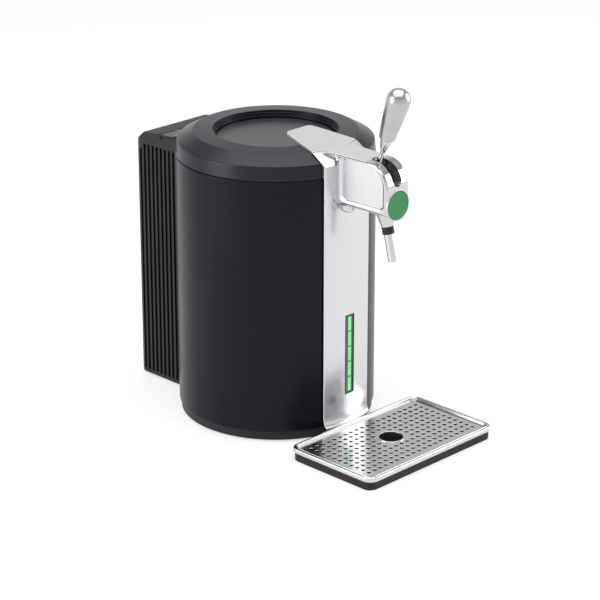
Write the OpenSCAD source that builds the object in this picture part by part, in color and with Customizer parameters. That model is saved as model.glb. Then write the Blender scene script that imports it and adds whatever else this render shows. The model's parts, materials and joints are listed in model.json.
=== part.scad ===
// Countertop dispenser for a small keg: a cooled round body with a slatted rear housing,
// a hinged lid, a bright front column with a lever tap, and a drip tray in front.
// Millimetres, +Z up, front towards -Y. Most places are distances from the round body's axis.

/* [Body shell] */
// Radius of the round body
body_r = 121.5; // [118:0.5:126]
// Height of the shell's lower edge above the table
body_bottom = 12.9; // [11:0.1:16]
// Height of the seam between the shell and the lid
body_top = 329.7; // [326:0.1:334]
// Thickness of the shell
shell_t = 2.4; // [1.6:0.1:3]
// How far the base stands inside the shell
base_inset = 2.5; // [1.5:0.1:4]
// Height of the rubber feet
foot_h = 2; // [1:0.1:3]
// Radius of the rubber feet
foot_r = 9; // [6:0.5:11]
// Wall of the moulded black parts
wall = 2.5; // [2:0.1:3]

/* [Keg chamber] */
// Thickness of the foam round the chamber, which leaves it room for a five litre keg
foam_t = 29.6; // [26:0.1:32]
// Thickness of the chamber's sheet
liner_t = 1.6; // [1:0.1:2.5]
// Height of the chamber's floor
chamber_floor = 56; // [46:1:64]
// Height of the collar that closes the ring between chamber and shell
collar_h = 10; // [8:0.5:14]
// Height of the seat under the keg's rim
cradle_h = 4; // [3:0.5:6]
// Width of the seat under the keg's rim
cradle_w = 12; // [8:0.5:20]

/* [Rear housing] */
// Width of the slatted housing
box_w = 105.2; // [100:0.2:112]
// How far its rear face stands behind the body
box_depth = 79; // [74:0.5:85]
// Radius of its upright rear corners
box_corner_r = 15; // [12:0.5:17]
// Height of its lower edge
box_bottom = 3; // [2.5:0.1:4]
// Height of its top where it meets the body
box_top_front = 333.5; // [332:0.1:336]
// Height of its top at the crest of the rear bevel
box_top_crest = 327.2; // [324:0.1:329]
// Distance of that crest from the rear face
crest_run = 20.5; // [15:0.5:25]
// Height where the rear bevel meets the rear face
bevel_foot = 310; // [304:0.5:316]
// Width of a slot between two slats
slot_w = 4; // [3:0.1:4.6]
// Distance from slot to slot
slot_pitch = 7.5; // [7:0.1:8.5]
// Height where the slots start
slot_bottom = 8; // [6:0.5:12]
// Height where the slots of the sides end
slot_top = 312; // [308:0.5:316]
// Height where the slots of the rear and its corners end
rear_slot_top = 305; // [298:0.5:307]
// Height where the slots of the rear face start, above the plain strip
rear_slot_bottom = 76; // [72:1:90]

/* [Lid] */
// Height of the lid's upright band above the seam
band_h = 18.3; // [15:0.1:20]
// How far the band leans in over its height
band_lean = 2; // [1:0.1:3]
// Width of the lid's bevel
bevel_w = 19.5; // [17:0.5:22]
// Height of the bevel above the band
bevel_h = 10.4; // [8:0.1:12]
// Width of the flat ring between the bevel and the round recess
ring_w = 23.8; // [22:0.2:26]
// Rise of the flat ring from its outer to its inner edge
ring_rise = 1.3; // [0.5:0.1:2]
// Depth of the recess
recess_depth = 9.2; // [8:0.1:10]
// Width of each step in the recess wall
step_w = 1.5; // [1:0.1:2]
// Thickness of the lid's skin
lid_t = 2.6; // [2:0.1:3]
// Radius of the hinge barrel
barrel_r = 3.6; // [3.4:0.1:4]
// Radius of the hinge pin
hinge_pin_r = 1.5; // [1.2:0.1:1.8]
// Distance of the hinge axis behind the body
hinge_out = 26.5; // [24.5:0.5:28.5]
// Radius of the hollow sweep between the lid and its rear flap
flare_r = 13; // [10:0.5:14]

/* [Lid handle] */
// Half width of the handle at its front edge
handle_front_w = 36.4; // [35:0.2:37]
// Half width of the handle at its nose
handle_nose_w = 21; // [18:0.5:24]
// Length of the handle from the column's top edge to its nose
handle_len = 68.3; // [63:0.1:71]
// Height of the nose's top
handle_nose_top = 367.2; // [364:0.2:370]
// Radius of the nose's corners
handle_corner_r = 9; // [6:0.5:12]
// Thickness of the handle
handle_t = 3.2; // [2.6:0.1:4]

/* [Front column] */
// Half width of the bright column
column_w = 38; // [36:0.5:39]
// How far the column stands out from the shell
column_out = 4; // [3.5:0.1:5]
// Thickness of the column's sheet
column_t = 2.2; // [1.8:0.1:2.8]
// Height of the column's lower edge
column_bottom = 13.4; // [13.1:0.1:15]
// Height where the foot of the column starts to sweep out
sweep_top = 28; // [25:0.5:32]
// How far the foot sweeps out
sweep_out = 5; // [3:0.1:5.1]
// Height where the column bends back over the lid's edge
bend_h = 345; // [343:0.5:347]
// How far the column's top runs in over the lid from the body's side
crown_run = 16.2; // [14.5:0.1:17]
// Half width of the lit window
window_w = 7.6; // [6.5:0.1:9]
// Height of the window's lower edge
window_bottom = 50.9; // [46:0.5:56]
// Height of the window's upper edge
window_top = 153.2; // [146:0.5:160]
// Width of the window's dark rim
window_rim = 1.5; // [1:0.1:2]
// Width of a lit segment
segment_w = 5; // [4:0.1:7]
// Gap between two lit segments
segment_gap = 1.6; // [1:0.1:2.5]

/* [Tap head] */
// Width of the tap head
head_w = 38; // [35:0.5:41]
// How far it stands out from the body
head_len = 78.5; // [75:0.5:81]
// Height of its lower face
head_bottom = 298; // [295:0.5:301]
// Height of its top
head_top = 358.4; // [357:0.1:360]
// Radius of its rounded front corner
head_corner_r = 35; // [31:0.5:37]
// Thickness of its walls
head_wall = 3; // [2.5:0.1:3.4]
// Thickness of its sides
head_side_t = 6; // [5.5:0.1:6.5]
// Depth of the panel recess in each side
recess_t = 2; // [1.6:0.1:2.4]
// Width of the upright bar beside the column
bar_back = 11; // [9:0.5:13]
// Width of the lower bar
bar_bottom = 8; // [6:0.5:9]
// Width of the bar that arches over the front
bar_front = 6.5; // [5:0.5:8]
// Width of the bar under the top plate
bar_top = 3; // [2.5:0.1:4]
// Thickness of the satin top plate
plate_t = 2; // [1.5:0.1:2.6]
// Width of the lever's slot
lever_slot_w = 15; // [14.6:0.1:17]
// Height of the badge's centre
badge_h = 309; // [307:0.5:311]
// Radius of the badge's rim
badge_r = 19; // [17:0.5:20]
// Width of the badge's pale rim
badge_rim = 1.2; // [0.8:0.1:2]
// Thickness of the badge
badge_t = 2.6; // [2:0.1:3]
// Radius of the two round bosses under the head
boss_r = 10.4; // [8:0.2:11]
// Height of the round bosses
boss_h = 10; // [8:0.5:12]

/* [Lever] */
// Distance of the lever's pivot in front of the body
pivot_out = 38.5; // [36.5:0.5:40.5]
// Height of the lever's pivot
pivot_h = 325; // [324:0.5:325.5]
// Lean of the resting lever from the upright, in degrees
lever_lean = 19.5; // [17:0.5:22]
// Radius of the lever's hub
hub_r = 9; // [8:0.5:10]
// Radius of the lever's pivot pin
lever_pin_r = 2.5; // [2:0.1:3]
// Radius of the lever's rod
rod_r = 3; // [2.5:0.1:3.4]
// Distance along the lever from the pivot to the ferrule
ferrule_start = 49.5; // [47:0.5:53]
// Distance along the lever from the pivot to the grip
grip_start = 64.7; // [62:0.5:67]
// Distance along the lever from the pivot to the grip's widest place
grip_wide = 121; // [115:0.5:125]
// Radius of the grip's lower end
grip_r = 10; // [9:0.2:11]
// Radius of the grip at its widest place
grip_top_r = 15; // [14:0.2:16]
// Radius of the ferrule where it meets the grip
ferrule_r = 7.5; // [6.5:0.1:8.5]
// Radius of the curved shield that closes the slot
shield_r = 28; // [27:0.1:28.1]

/* [Spout] */
// Lean of the spout from the upright, in degrees
spout_lean = 13; // [10:0.5:15]
// Distance of the spout's axis in front of the body, at the head's lower face
spout_out = 58.5; // [56.5:0.5:60.5]
// Radius of the spout cone at the head
cone_r = 11.5; // [10.5:0.1:12.5]
// Radius of the spout cone at its lower end
cone_end_r = 6.8; // [6.2:0.1:7.2]
// Length of the spout cone
cone_len = 19; // [17:0.5:21]
// Radius of the dark collar
collar_r = 7.3; // [7:0.1:8]
// Length of the dark collar
nozzle_collar_len = 9; // [7:0.5:11]
// Radius of the nozzle tube
nozzle_r = 5.8; // [5.4:0.1:6.2]
// Bore radius of the nozzle tube
nozzle_bore_r = 4.4; // [4:0.1:4.6]
// Length of the nozzle tube
nozzle_len = 33; // [30:0.5:36]

/* [Drip tray] */
// Half width of the tray's cover
tray_w = 110; // [106:0.5:114]
// Length of the tray's cover from back to front
tray_len = 133.3; // [129:0.1:137]
// Gap between the tray and the foot of the column
tray_gap = 0.7; // [0.5:0.1:2]
// Radius of the tray's corners
tray_corner_r = 13; // [10:0.5:15]
// Height of the black basin
basin_h = 11; // [10:0.1:12]
// How far the basin stands inside the cover
basin_inset = 2; // [1.5:0.1:3]
// Height of the cover's rolled rim
rim_h = 5.8; // [5:0.1:7]
// Width of the cover's rolled rim
rim_w = 5.2; // [4.5:0.1:6]
// Thickness of the perforated plate
grid_t = 1.2; // [1:0.1:1.6]
// Height of the plate above the rim's lower edge
grid_lift = 1.8; // [1.4:0.1:2.2]
// Radius of a drain hole
hole_r = 2.15; // [1.6:0.05:2.6]
// Distance from hole to hole across the tray
hole_pitch_x = 9.65; // [9:0.05:11]
// Distance from hole to hole along the tray
hole_pitch_y = 9.3; // [9:0.05:11]
// Width of the plain margin beside the holes
hole_margin = 11; // [9:0.5:14]
// Radius of the large drain opening
drain_r = 14.5; // [12:0.5:16]
// Radius of the plain ring round the large opening
drain_ring_r = 20; // [18.5:0.5:24]
// Depth of the lip round the large opening
drain_lip = 2; // [1.6:0.1:2.4]

/* [Cooling] */
// Half width of the cold block
block_w = 25; // [22:0.5:30]
// Height of the cold block's centre
cool_h = 180; // [170:1:200]
// Height of the cold block
block_h = 100; // [80:1:120]
// Side of the square thermoelectric module
module_w = 40; // [30:1:50]
// Thickness of the module
module_t = 4; // [3:0.1:5]
// Room between the heat sink and each side of the housing
sink_side = 8.6; // [6.6:0.1:12]
// Height of the heat sink
sink_h = 140; // [120:1:160]
// Length of a heat sink fin
fin_len = 26; // [22:0.5:28]
// Thickness of a heat sink fin
fin_t = 1.6; // [1.2:0.1:2]
// Number of heat sink fins
fin_count = 13; // [9:1:15]
// Room between the fan and each side of the housing
fan_side = 12.6; // [10.6:0.1:17]
// Depth of the fan
fan_t = 20; // [15:0.5:22]
// Least width of the fan's frame beside its opening
fan_rim = 2.5; // [2:0.1:6]
// Radius of the rotor's hub
rotor_hub_r = 16; // [12:0.5:20]
// Number of fan blades
blade_count = 7; // [5:1:9]

/* [Hidden] */
$fn = 72;

// Colours
black_satin = "#15151b";
black_matt = "#1d1d1f";
charcoal = "#3a3a40";
chrome_c = "#d5d6d8";
satin_c = "#bdbdb9";
steel_c = "#a9abad";
aluminium_c = "#b9bcc0";
green_c = "#1f7a3c";
light_green = "#78dc82";
foam_c = "#e8e6dc";
board_c = "#1e5a3a";
rubber_c = "#222222";

// Shared clearances
cut = 1;                // overrun of a cut past the face it opens
seam = 0.4;             // gap at a visible joint
fit = 0.05;             // radial clearance of a running pin
gap = 0.3;              // clearance between pieces that move apart

// Distances from the body's axis
box_reach = body_r + box_depth;
crest_reach = box_reach - crest_run;
hinge_reach = body_r + hinge_out;
column_r = body_r + column_out;
crown_r = body_r - crown_run;
handle_nose = crown_r - handle_len;
head_front = body_r + head_len;
pivot_reach = body_r + pivot_out;
spout_reach = body_r + spout_out;
tray_back = column_r + sweep_out + tray_gap;
tray_front = tray_back + tray_len;

// The origin lies midway between the tray's front edge and the housing's rear face
axis_y = (tray_front - box_reach) / 2;

// Heights and places that follow from the sizes above
base_r = body_r - base_inset;
pan_floor = foot_h + wall;
pan_rim = body_bottom - seam;
rear_floor = box_bottom + 1.5 * wall;
box_front = sqrt(body_r * body_r - box_w * box_w / 4);
lid_bottom = body_top + seam;
band_top = body_top + band_h;
band_top_r = body_r - band_lean;
ring_r = band_top_r - bevel_w;
recess_r = ring_r - ring_w;
ring_h = band_top + bevel_h;
recess_top = ring_h + ring_rise;
recess_floor = recess_top - recess_depth;
disc_t = 2;
disc_r = recess_r - 3 * step_w - seam;
collar_top = body_top - seam;
collar_bottom = collar_top - collar_h;
foam_r = body_r - shell_t - seam;
foam_bottom = pan_rim + fit;
liner_r = foam_r - foam_t;
chamber_r = liner_r - liner_t;
liner_top = collar_top - wall;
hinge_h = box_top(hinge_reach) - barrel_r;
flap_t = 2.6;
flare_h = box_top(body_r + flare_r);
ring_t = 4.5;
gasket_t = 2.1;
pocket_floor = ring_h - lid_t;
handle_back_r = crown_r - seam;
liner_plate_top = collar_top + gasket_t + wall;
lid_liner_r = ring_r - gap;
screw_r = 1.5;
lid_post_r = chamber_r - screw_r;
lid_post_depth = 12;
lid_screw_angles = [45:90:315];
gasket_w = 5;
gasket_seat = 0.9;
gasket_r = liner_r + gasket_seat;
channel_w = 9;
channel_bottom = 336;
channel_top = 350;

// Cooling parts, from the chamber wall to the rear face
block_inset = 9.5;
block_back = body_r - block_inset;
sink_front = block_back + module_t;
chassis_front = body_r + gap;
chassis_t = 3;
chassis_back = chassis_front + chassis_t;
chassis_w = box_w / 2 - wall - gap;
chassis_top = 316;
sink_flange = 4;
fin_tip = chassis_front + fin_len;
fan_w = box_w - 2 * fan_side;
fan_r = fan_w / 2 - fan_rim;
fan_front = fin_tip + seam;
fan_back = fan_front + fan_t;
sink_w = box_w / 2 - sink_side;
sink_room = 1.5;
shell_window_w = sink_w + sink_room;
shell_window_h = sink_h + 4 * sink_room;
blade_pitch = 35;
board_t = 1.6;
part_t = 4;
post_len = 6;
control_bottom = 262;
control_tall = 44;
supply_h = 26;
bracket_bottom = 309;
bracket_t = 4;
knuckle_w = 8;
knuckle_x = 24;
probe_r = 3;
probe_len = 14;
probe_h = 92;
probe_angle = 40;

// Mains side of the rear face
fitting_side = 28.6;
inlet_x = fitting_side - box_w / 2;
inlet_h = 44;
inlet_w = 28;
inlet_tall = 22;
inlet_depth = 14;
switch_x = -inlet_x;
switch_w = 22;
switch_tall = 28;
switch_depth = 14;
rocker_axis = 5;
rocker_pin_r = 1.5;
rocker_play = 0.9;
rocker_rise = 0.6;
screen_t = 0.8;
screw_head_r = 3;
screw_head_t = 1.8;
cover_screw_side = 22.6;
cover_screw_x = box_w / 2 - cover_screw_side;
cover_screw_h = 18;

// Column and lit window
column_in = body_r + gap;
window_front = column_r - 2 * fit;
frame_depth = 4;
lens_sink = 0.8;
lens_t = 1.6;
segment_t = 0.4;
segment_count = 5;
window_pocket = 8;

// Tap head and lever
head_back_y = body_r + gap;
head_in_w = head_w - 2 * head_side_t;
neck_run = 2.5;
plate_neck = body_r - neck_run;
crown_depth = 13.3;
crown_back = crown_r - crown_depth;
slot_start = 0;
slot_end = 81;
hub_w = 12;
stub_len = 14;
stub_r = 5;
shield_t = 1.5;
shield_behind = 34;
shield_ahead = 63;

// Drip tray
grid_bottom = basin_h + gap;
grid_plate = grid_bottom + grid_lift;
tray_mid = (tray_front + tray_back) / 2;
drain_shift = 2.9;
drain_y = tray_mid - drain_shift;

// Height of the rear housing's sloping top at a distance from the body's axis
function box_top(y) = box_top_front + (y - box_front) *
    (box_top_crest - box_top_front) / (crest_reach - box_front);

// Points of a round arc from one angle to another
function arc(x, y, r, a0, a1, n) =
    [for (i = [0:n]) let (a = a0 + (a1 - a0) * i / n) [x + r * cos(a), y + r * sin(a)]];

// Puts a piece on the round body's axis
module at_axis() {
    translate([0, axis_y, 0]) children();
}

// Extrudes a side view, drawn as depth and height, evenly to both sides
module side_view(w) {
    rotate([90, 0, 90]) translate([0, 0, -w / 2]) linear_extrude(w) children();
}

// Rectangle with round corners, from exact circles
module round_rect(w, d, r) {
    square([w - 2 * r, d], center = true);
    square([w, d - 2 * r], center = true);
    for (x = [-1, 1], y = [-1, 1]) translate([x * (w / 2 - r), y * (d / 2 - r)]) circle(r);
}

// Upright prism with a tube's section
module tube(r_out, r_in, h) {
    difference() {
        cylinder(r = r_out, h = h);
        translate([0, 0, -cut]) cylinder(r = r_in, h = h + 2 * cut);
    }
}

// Plan of the rear housing, drawn in from its outer faces
module box_plan(inset) {
    depth = box_reach - box_corner_r;
    translate([0, box_reach - inset - depth / 2])
        round_rect(box_w - 2 * inset, depth, box_corner_r - inset);
}

// Side view of the rear housing, drawn in from its outer faces
module box_side(inset) {
    slope_in = inset * 1.2;
    polygon([
        [0, box_bottom - cut * inset], [box_reach - inset, box_bottom - cut * inset],
        [box_reach - inset, bevel_foot - slope_in / 2], [crest_reach - slope_in / 2, box_top_crest - inset],
        [0, box_top(0) - inset]
    ]);
}

module box_solid(inset) {
    intersection() {
        linear_extrude(body_top + body_bottom) box_plan(inset);
        side_view(box_w) box_side(inset);
    }
}

// The black base that carries the body, the cooling parts and the housing
module base_pan() {
    boss = 3 * screw_r;
    color(black_matt) at_axis() difference() {
        union() {
            translate([0, 0, foot_h]) cylinder(r = base_r, h = pan_rim - foot_h);
            translate([0, 0, foot_h]) linear_extrude(rear_floor - foot_h) box_plan(wall + gap);
            for (x = [-1, 1]) translate([x * cover_screw_x - boss, box_reach - 2 * wall - 2 * boss, foot_h])
                cube([2 * boss, wall + 2 * boss - gap, cover_screw_h + boss - foot_h]);
        }
        translate([0, 0, pan_floor]) cylinder(r = base_r - wall, h = pan_rim);
        for (x = [-2:2]) translate([x * 3 * slot_w - slot_w / 2, chassis_back + slot_w, 0])
            cube([slot_w, 2 * fan_t, pan_rim]);
        for (x = [-1, 1]) translate([x * cover_screw_x, box_reach, cover_screw_h]) rotate([90, 0, 0])
            cylinder(r = screw_r, h = 4 * wall);
    }
}

module base_feet() {
    ring = base_r - 2 * foot_r;
    color(rubber_c) at_axis() {
        for (a = [45:90:315]) rotate(a) translate([ring, 0, 0]) cylinder(r = foot_r, h = foot_h);
        for (x = [-1, 1]) translate([x * (box_w / 2 - 2 * foot_r), box_reach - 2 * foot_r, 0])
            cylinder(r = foot_r, h = foot_h);
    }
}

// The round outer shell, open at the rear for the cooling parts and at the front for the lit window
module body_shell() {
    color(black_satin) at_axis() difference() {
        translate([0, 0, body_bottom]) tube(body_r, body_r - shell_t, body_top - body_bottom);
        translate([-shell_window_w, 0, cool_h - shell_window_h / 2])
            cube([2 * shell_window_w, 2 * body_r, shell_window_h]);
        translate([-window_w - gap - window_rim, -2 * body_r, window_bottom - 2 * window_rim])
            cube([2 * (window_w + gap + window_rim), 2 * body_r, window_top - window_bottom + 4 *
                window_rim]);
    }
}

// Foam ring between chamber and shell, with pockets for the cold block, the probe and the lit window
module insulation_sleeve() {
    pocket = 4 * window_rim;
    color(foam_c) at_axis() difference() {
        translate([0, 0, foam_bottom]) tube(foam_r, liner_r + gap, collar_bottom - foam_bottom);
        translate([-block_w - gap, 0, cool_h - block_h / 2 - gap])
            cube([2 * (block_w + gap), 2 * body_r, block_h + 2 * gap]);
        translate([-window_w - pocket, -2 * body_r, window_bottom - pocket])
            cube([2 * (window_w + pocket), 2 * body_r - foam_r +
                window_pocket, window_top - window_bottom + 2 * pocket]);
        translate([-shell_window_w, block_back - cut, cool_h - shell_window_h / 2])
            cube([2 * shell_window_w, body_r, shell_window_h]);
        rotate(probe_angle) translate([0, 0, probe_h]) rotate([0, 90, 0])
            cylinder(r = probe_r + gap, h = liner_r + probe_len + gap);
    }
}

// Foam block under the chamber, standing on the base
module insulation_base() {
    color(foam_c) at_axis() translate([0, 0, pan_floor])
        cylinder(r = liner_r, h = chamber_floor - liner_t - pan_floor);
}

// The metal chamber that holds the keg
module chamber_liner() {
    color(aluminium_c) at_axis() translate([0, 0, chamber_floor - liner_t]) difference() {
        cylinder(r = liner_r, h = liner_top - chamber_floor + liner_t);
        translate([0, 0, liner_t]) cylinder(r = chamber_r, h = liner_top);
    }
}

// Ring on the chamber's floor that takes the keg's lower rim
module keg_cradle() {
    color(black_matt) at_axis() translate([0, 0, chamber_floor])
        tube(chamber_r - gap, chamber_r - cradle_w, cradle_h);
}

// Ring that closes the gap between chamber and shell and carries the lid's gasket
module chamber_collar() {
    color(black_matt) at_axis() difference() {
        translate([0, 0, collar_bottom]) tube(foam_r, chamber_r, collar_h);
        translate([0, 0, collar_bottom - cut])
            cylinder(r = liner_r + fit, h = liner_top - collar_bottom + cut + fit);
    }
}

// Small probe that reads the chamber wall's temperature
module temperature_probe() {
    color(steel_c) at_axis() difference() {
        rotate(probe_angle) translate([0, 0, probe_h]) rotate([0, 90, 0])
            translate([0, 0, liner_r - probe_r]) cylinder(r = probe_r, h = probe_r + probe_len);
        cylinder(r = liner_r + fit, h = body_top);
    }
}

// Block that carries the cold to the chamber wall
module cold_block() {
    color(aluminium_c) at_axis() difference() {
        translate([-block_w, 0, cool_h - block_h / 2]) cube([2 * block_w, block_back, block_h]);
        translate([0, 0, cool_h - block_h]) cylinder(r = liner_r + fit, h = 2 * block_h);
    }
}

module thermoelectric_module() {
    color("white") at_axis() translate([-module_w / 2, block_back, cool_h - module_w / 2])
        cube([module_w, module_t, module_w]);
}

// Finned heat sink whose base lies against the chassis, with the fins through its opening
module heat_sink() {
    fin_w = sink_w - sink_flange;
    fin_h = sink_h - 2 * sink_flange;
    pitch = (2 * fin_w - fin_t) / (fin_count - 1);
    color(aluminium_c) at_axis() {
        translate([-sink_w, sink_front, cool_h - sink_h / 2])
            cube([2 * sink_w, chassis_front - sink_front, sink_h]);
        for (i = [0:fin_count - 1]) translate([-fin_w + i * pitch, chassis_front - cut, cool_h - fin_h / 2])
            cube([fin_t, fin_len + cut, fin_h]);
    }
}

// Upright plate behind the shell that carries the cooling parts and the hinge
module rear_chassis() {
    opening_w = sink_w - sink_flange + gap;
    opening_h = sink_h - 2 * sink_flange + 2 * gap;
    color(black_matt) at_axis() difference() {
        union() {
            translate([-chassis_w, chassis_front, rear_floor])
                cube([2 * chassis_w, chassis_t, chassis_top - rear_floor]);
            for (x = [-1, 1], z = [3 * screw_r, control_tall - 3 * screw_r])
                translate([x * (sink_w - 4 * screw_r), chassis_front, control_bottom + z])
                    rotate([-90, 0, 0])
                cylinder(r = 2 * screw_r, h = chassis_t + post_len);
        }
        translate([-opening_w, 0, cool_h - opening_h / 2]) cube([2 * opening_w, 2 * body_r, opening_h]);
    }
}

module fan_frame() {
    corner = fan_w / 2 - 2 * screw_head_r + screw_r;
    color(rubber_c) at_axis() translate([0, fan_back, cool_h]) rotate([90, 0, 0]) difference() {
        translate([-fan_w / 2, -fan_w / 2, 0]) cube([fan_w, fan_w, fan_t]);
        translate([0, 0, -cut]) difference() {
            cylinder(r = fan_r, h = fan_t + 2 * cut);
            cylinder(r = rotor_hub_r, h = cut + wall);
            for (a = [45:90:315]) rotate(a) translate([0, -wall / 2, 0])
                cube([fan_r + cut, wall, cut + wall]);
        }
        for (x = [-1, 1], y = [-1, 1]) translate([x * corner, y * corner, -cut])
            cylinder(r = screw_r + fit, h = fan_t + 2 * cut);
    }
}

module fan_rotor() {
    depth = fan_t - wall - 2 * gap - wall;
    color(black_matt) at_axis() translate([0, fan_back - wall - gap, cool_h]) rotate([90, 0, 0]) {
        cylinder(r = rotor_hub_r, h = depth);
        for (i = [0:blade_count - 1]) rotate(i * 360 / blade_count)
            translate([rotor_hub_r - cut, 0, depth / 2]) rotate([blade_pitch, 0, 0])
            translate([0, -wall / 4, -depth / 2 + wall / 2])
                cube([fan_r - rotor_hub_r - cut, wall / 2, depth - wall]);
    }
}

module fan_screws() {
    corner = fan_w / 2 - 2 * screw_head_r + screw_r;
    color(steel_c) at_axis() translate([0, fan_back, cool_h]) rotate([90, 0, 0])
        for (x = [-1, 1], y = [-1, 1]) translate([x * corner, y * corner, 0]) {
            cylinder(r = screw_r, h = fan_t);
            translate([0, 0, -screw_head_t]) cylinder(r = screw_head_r, h = screw_head_t);
        }
}

// Circuit board that sets the cooling, on four posts of the chassis
module control_board() {
    front = chassis_back + post_len;
    color(board_c) at_axis() translate([-sink_w, front, control_bottom]) {
        cube([2 * sink_w, board_t, control_tall]);
        translate([sink_w / 2, board_t, control_tall / 3]) cube([sink_w / 2, part_t, control_tall / 3]);
        translate([1.3 * sink_w, board_t, control_tall / 4])
            cube([sink_w / 3, 2 * part_t, control_tall / 2]);
        for (i = [1:3]) translate([i * 2 * part_t, board_t, 2 * part_t]) rotate([-90, 0, 0])
            cylinder(r = part_t - gap, h = 2 * part_t);
    }
}

// Mains converter on the floor of the base
module power_supply() {
    front = chassis_back + gap;
    depth = box_reach - wall - inlet_depth - gap - front;
    color(board_c) at_axis() translate([-sink_w, front, rear_floor]) {
        translate([0, 0, 2 * part_t]) cube([2 * sink_w, depth, board_t]);
        for (x = [part_t, 2 * sink_w - part_t], y = [part_t, depth - part_t])
            translate([x, y, 0]) cylinder(r = part_t - gap, h = 2 * part_t + cut);
        translate([sink_w / 4, depth / 5, 2 * part_t]) cube([sink_w / 2, depth / 2, supply_h]);
        translate([1.4 * sink_w, depth / 5, 2 * part_t]) cube([sink_w / 3, depth / 2, supply_h / 2]);
        translate([sink_w, depth / 2, 2 * part_t]) cylinder(r = 2 * part_t, h = supply_h);
    }
}

// The slatted rear housing
module rear_cover() {
    corner_slots = 4;
    corner_step = slot_pitch / box_corner_r * 180 / PI;
    corner_len = box_corner_r * PI / 2;
    rear_slots = floor((box_w / 2 - box_corner_r - slot_w / 2) / slot_pitch);
    first_slot = box_reach - box_corner_r - (corner_slots * slot_pitch - corner_len);
    side_slots = floor((first_slot - box_front) / slot_pitch) + 1;
    color(black_matt) at_axis() difference() {
        box_solid(0);
        box_solid(wall);
        translate([0, 0, -cut]) cylinder(r = body_r + seam, h = 2 * body_top);
        // seat of the lid's rear flap
        side_view(2 * box_w) polygon([
            [0, box_top(0) - flap_t - gap], [hinge_reach, box_top(hinge_reach) - flap_t - gap],
            [hinge_reach, hinge_h], [hinge_reach + barrel_r + gap, hinge_h],
            [hinge_reach + barrel_r + gap, 2 * body_top], [0, 2 * body_top]
        ]);
        side_view(2 * box_w) translate([hinge_reach, hinge_h]) circle(barrel_r + gap);
        // slots in both sides
        for (i = [0:side_slots - 1]) translate([-box_w, first_slot - slot_w / 2 - i *
            slot_pitch, slot_bottom])
            cube([2 * box_w, slot_w, slot_top - slot_bottom]);
        // slots in the rear face
        for (i = [-rear_slots:rear_slots])
            translate([i * slot_pitch - slot_w / 2, box_reach - 2 * wall, rear_slot_bottom])
            cube([slot_w, 3 * wall, rear_slot_top - rear_slot_bottom]);
        // slots that follow the round corners
        for (x = [-1, 1], i = [0:corner_slots - 1])
            translate([x * (box_w / 2 - box_corner_r), box_reach - box_corner_r, slot_bottom])
            rotate(90 - x * i * corner_step) translate([box_corner_r / 2, -slot_w / 2, 0])
            cube([box_corner_r, slot_w, rear_slot_top - slot_bottom]);
        // mains inlet and switch
        translate([inlet_x - inlet_w / 2, box_reach - 2 * wall, inlet_h - inlet_tall / 2])
            cube([inlet_w, 3 * wall, inlet_tall]);
        translate([switch_x - switch_w / 2, box_reach - 2 * wall, inlet_h - switch_tall / 2])
            cube([switch_w, 3 * wall, switch_tall]);
        for (x = [-1, 1]) translate([x * cover_screw_x, box_reach, cover_screw_h]) rotate([90, 0, 0]) {
            cylinder(r = screw_r + fit, h = 3 * wall);
            translate([0, 0, -cut]) cylinder(r = screw_head_r + fit, h = wall / 2 + cut);
        }
    }
}

// Fine black screen behind the slots
module dust_screen() {
    color(rubber_c) at_axis() difference() {
        box_solid(wall + fit);
        box_solid(wall + fit + screen_t);
        translate([-box_w, 0, 0]) cube([2 * box_w, chassis_back + gap, 2 * body_top]);
        translate([-box_w, 0, slot_top + slot_w / 2]) cube([2 * box_w, 2 * box_reach, body_top]);
        translate([-box_w, 0, 0]) cube([2 * box_w, 2 * box_reach, rear_floor + gap]);
        translate([-box_w / 2 + box_corner_r, box_reach - 3 * wall, 0])
            cube([box_w - 2 * box_corner_r, 4 * wall, rear_slot_bottom - slot_w]);
    }
}

module cover_screws() {
    color(steel_c) at_axis() for (x = [-1, 1]) translate([x * cover_screw_x, box_reach, cover_screw_h])
        rotate([90, 0, 0]) {
        cylinder(r = screw_r, h = 4 * wall);
        cylinder(r = screw_head_r, h = wall / 2);
    }
}

// Recessed mains inlet with two contact pins
module power_inlet() {
    flange = wall / 2;
    color(rubber_c) at_axis() translate([inlet_x, box_reach, inlet_h]) rotate([90, 0, 0]) {
        difference() {
            translate([-inlet_w / 2 + gap, -inlet_tall / 2 + gap, 0])
                cube([inlet_w - 2 * gap, inlet_tall - 2 * gap, inlet_depth]);
            translate([-inlet_w / 2 + wall, -inlet_tall / 2 + wall, -cut])
                cube([inlet_w - 2 * wall, inlet_tall - 2 * wall, inlet_depth - wall + cut]);
        }
        for (x = [-1, 0, 1]) translate([x * inlet_w / 4, 0, flange])
            cylinder(r = screw_r, h = inlet_depth - flange);
    }
}

module switch_housing() {
    color(rubber_c) at_axis() translate([switch_x, box_reach, inlet_h]) rotate([90, 0, 0]) difference() {
        translate([-switch_w / 2 + gap, -switch_tall / 2 + gap, 0])
            cube([switch_w - 2 * gap, switch_tall - 2 * gap, switch_depth]);
        translate([-switch_w / 2 + wall, -switch_tall / 2 + wall, -cut])
            cube([switch_w - 2 * wall, switch_tall - 2 * wall, switch_depth - wall + cut]);
        translate([0, 0, rocker_axis]) rotate([0, 90, 0])
            cylinder(r = rocker_pin_r + fit, h = 2 * switch_w, center = true);
    }
}

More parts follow.
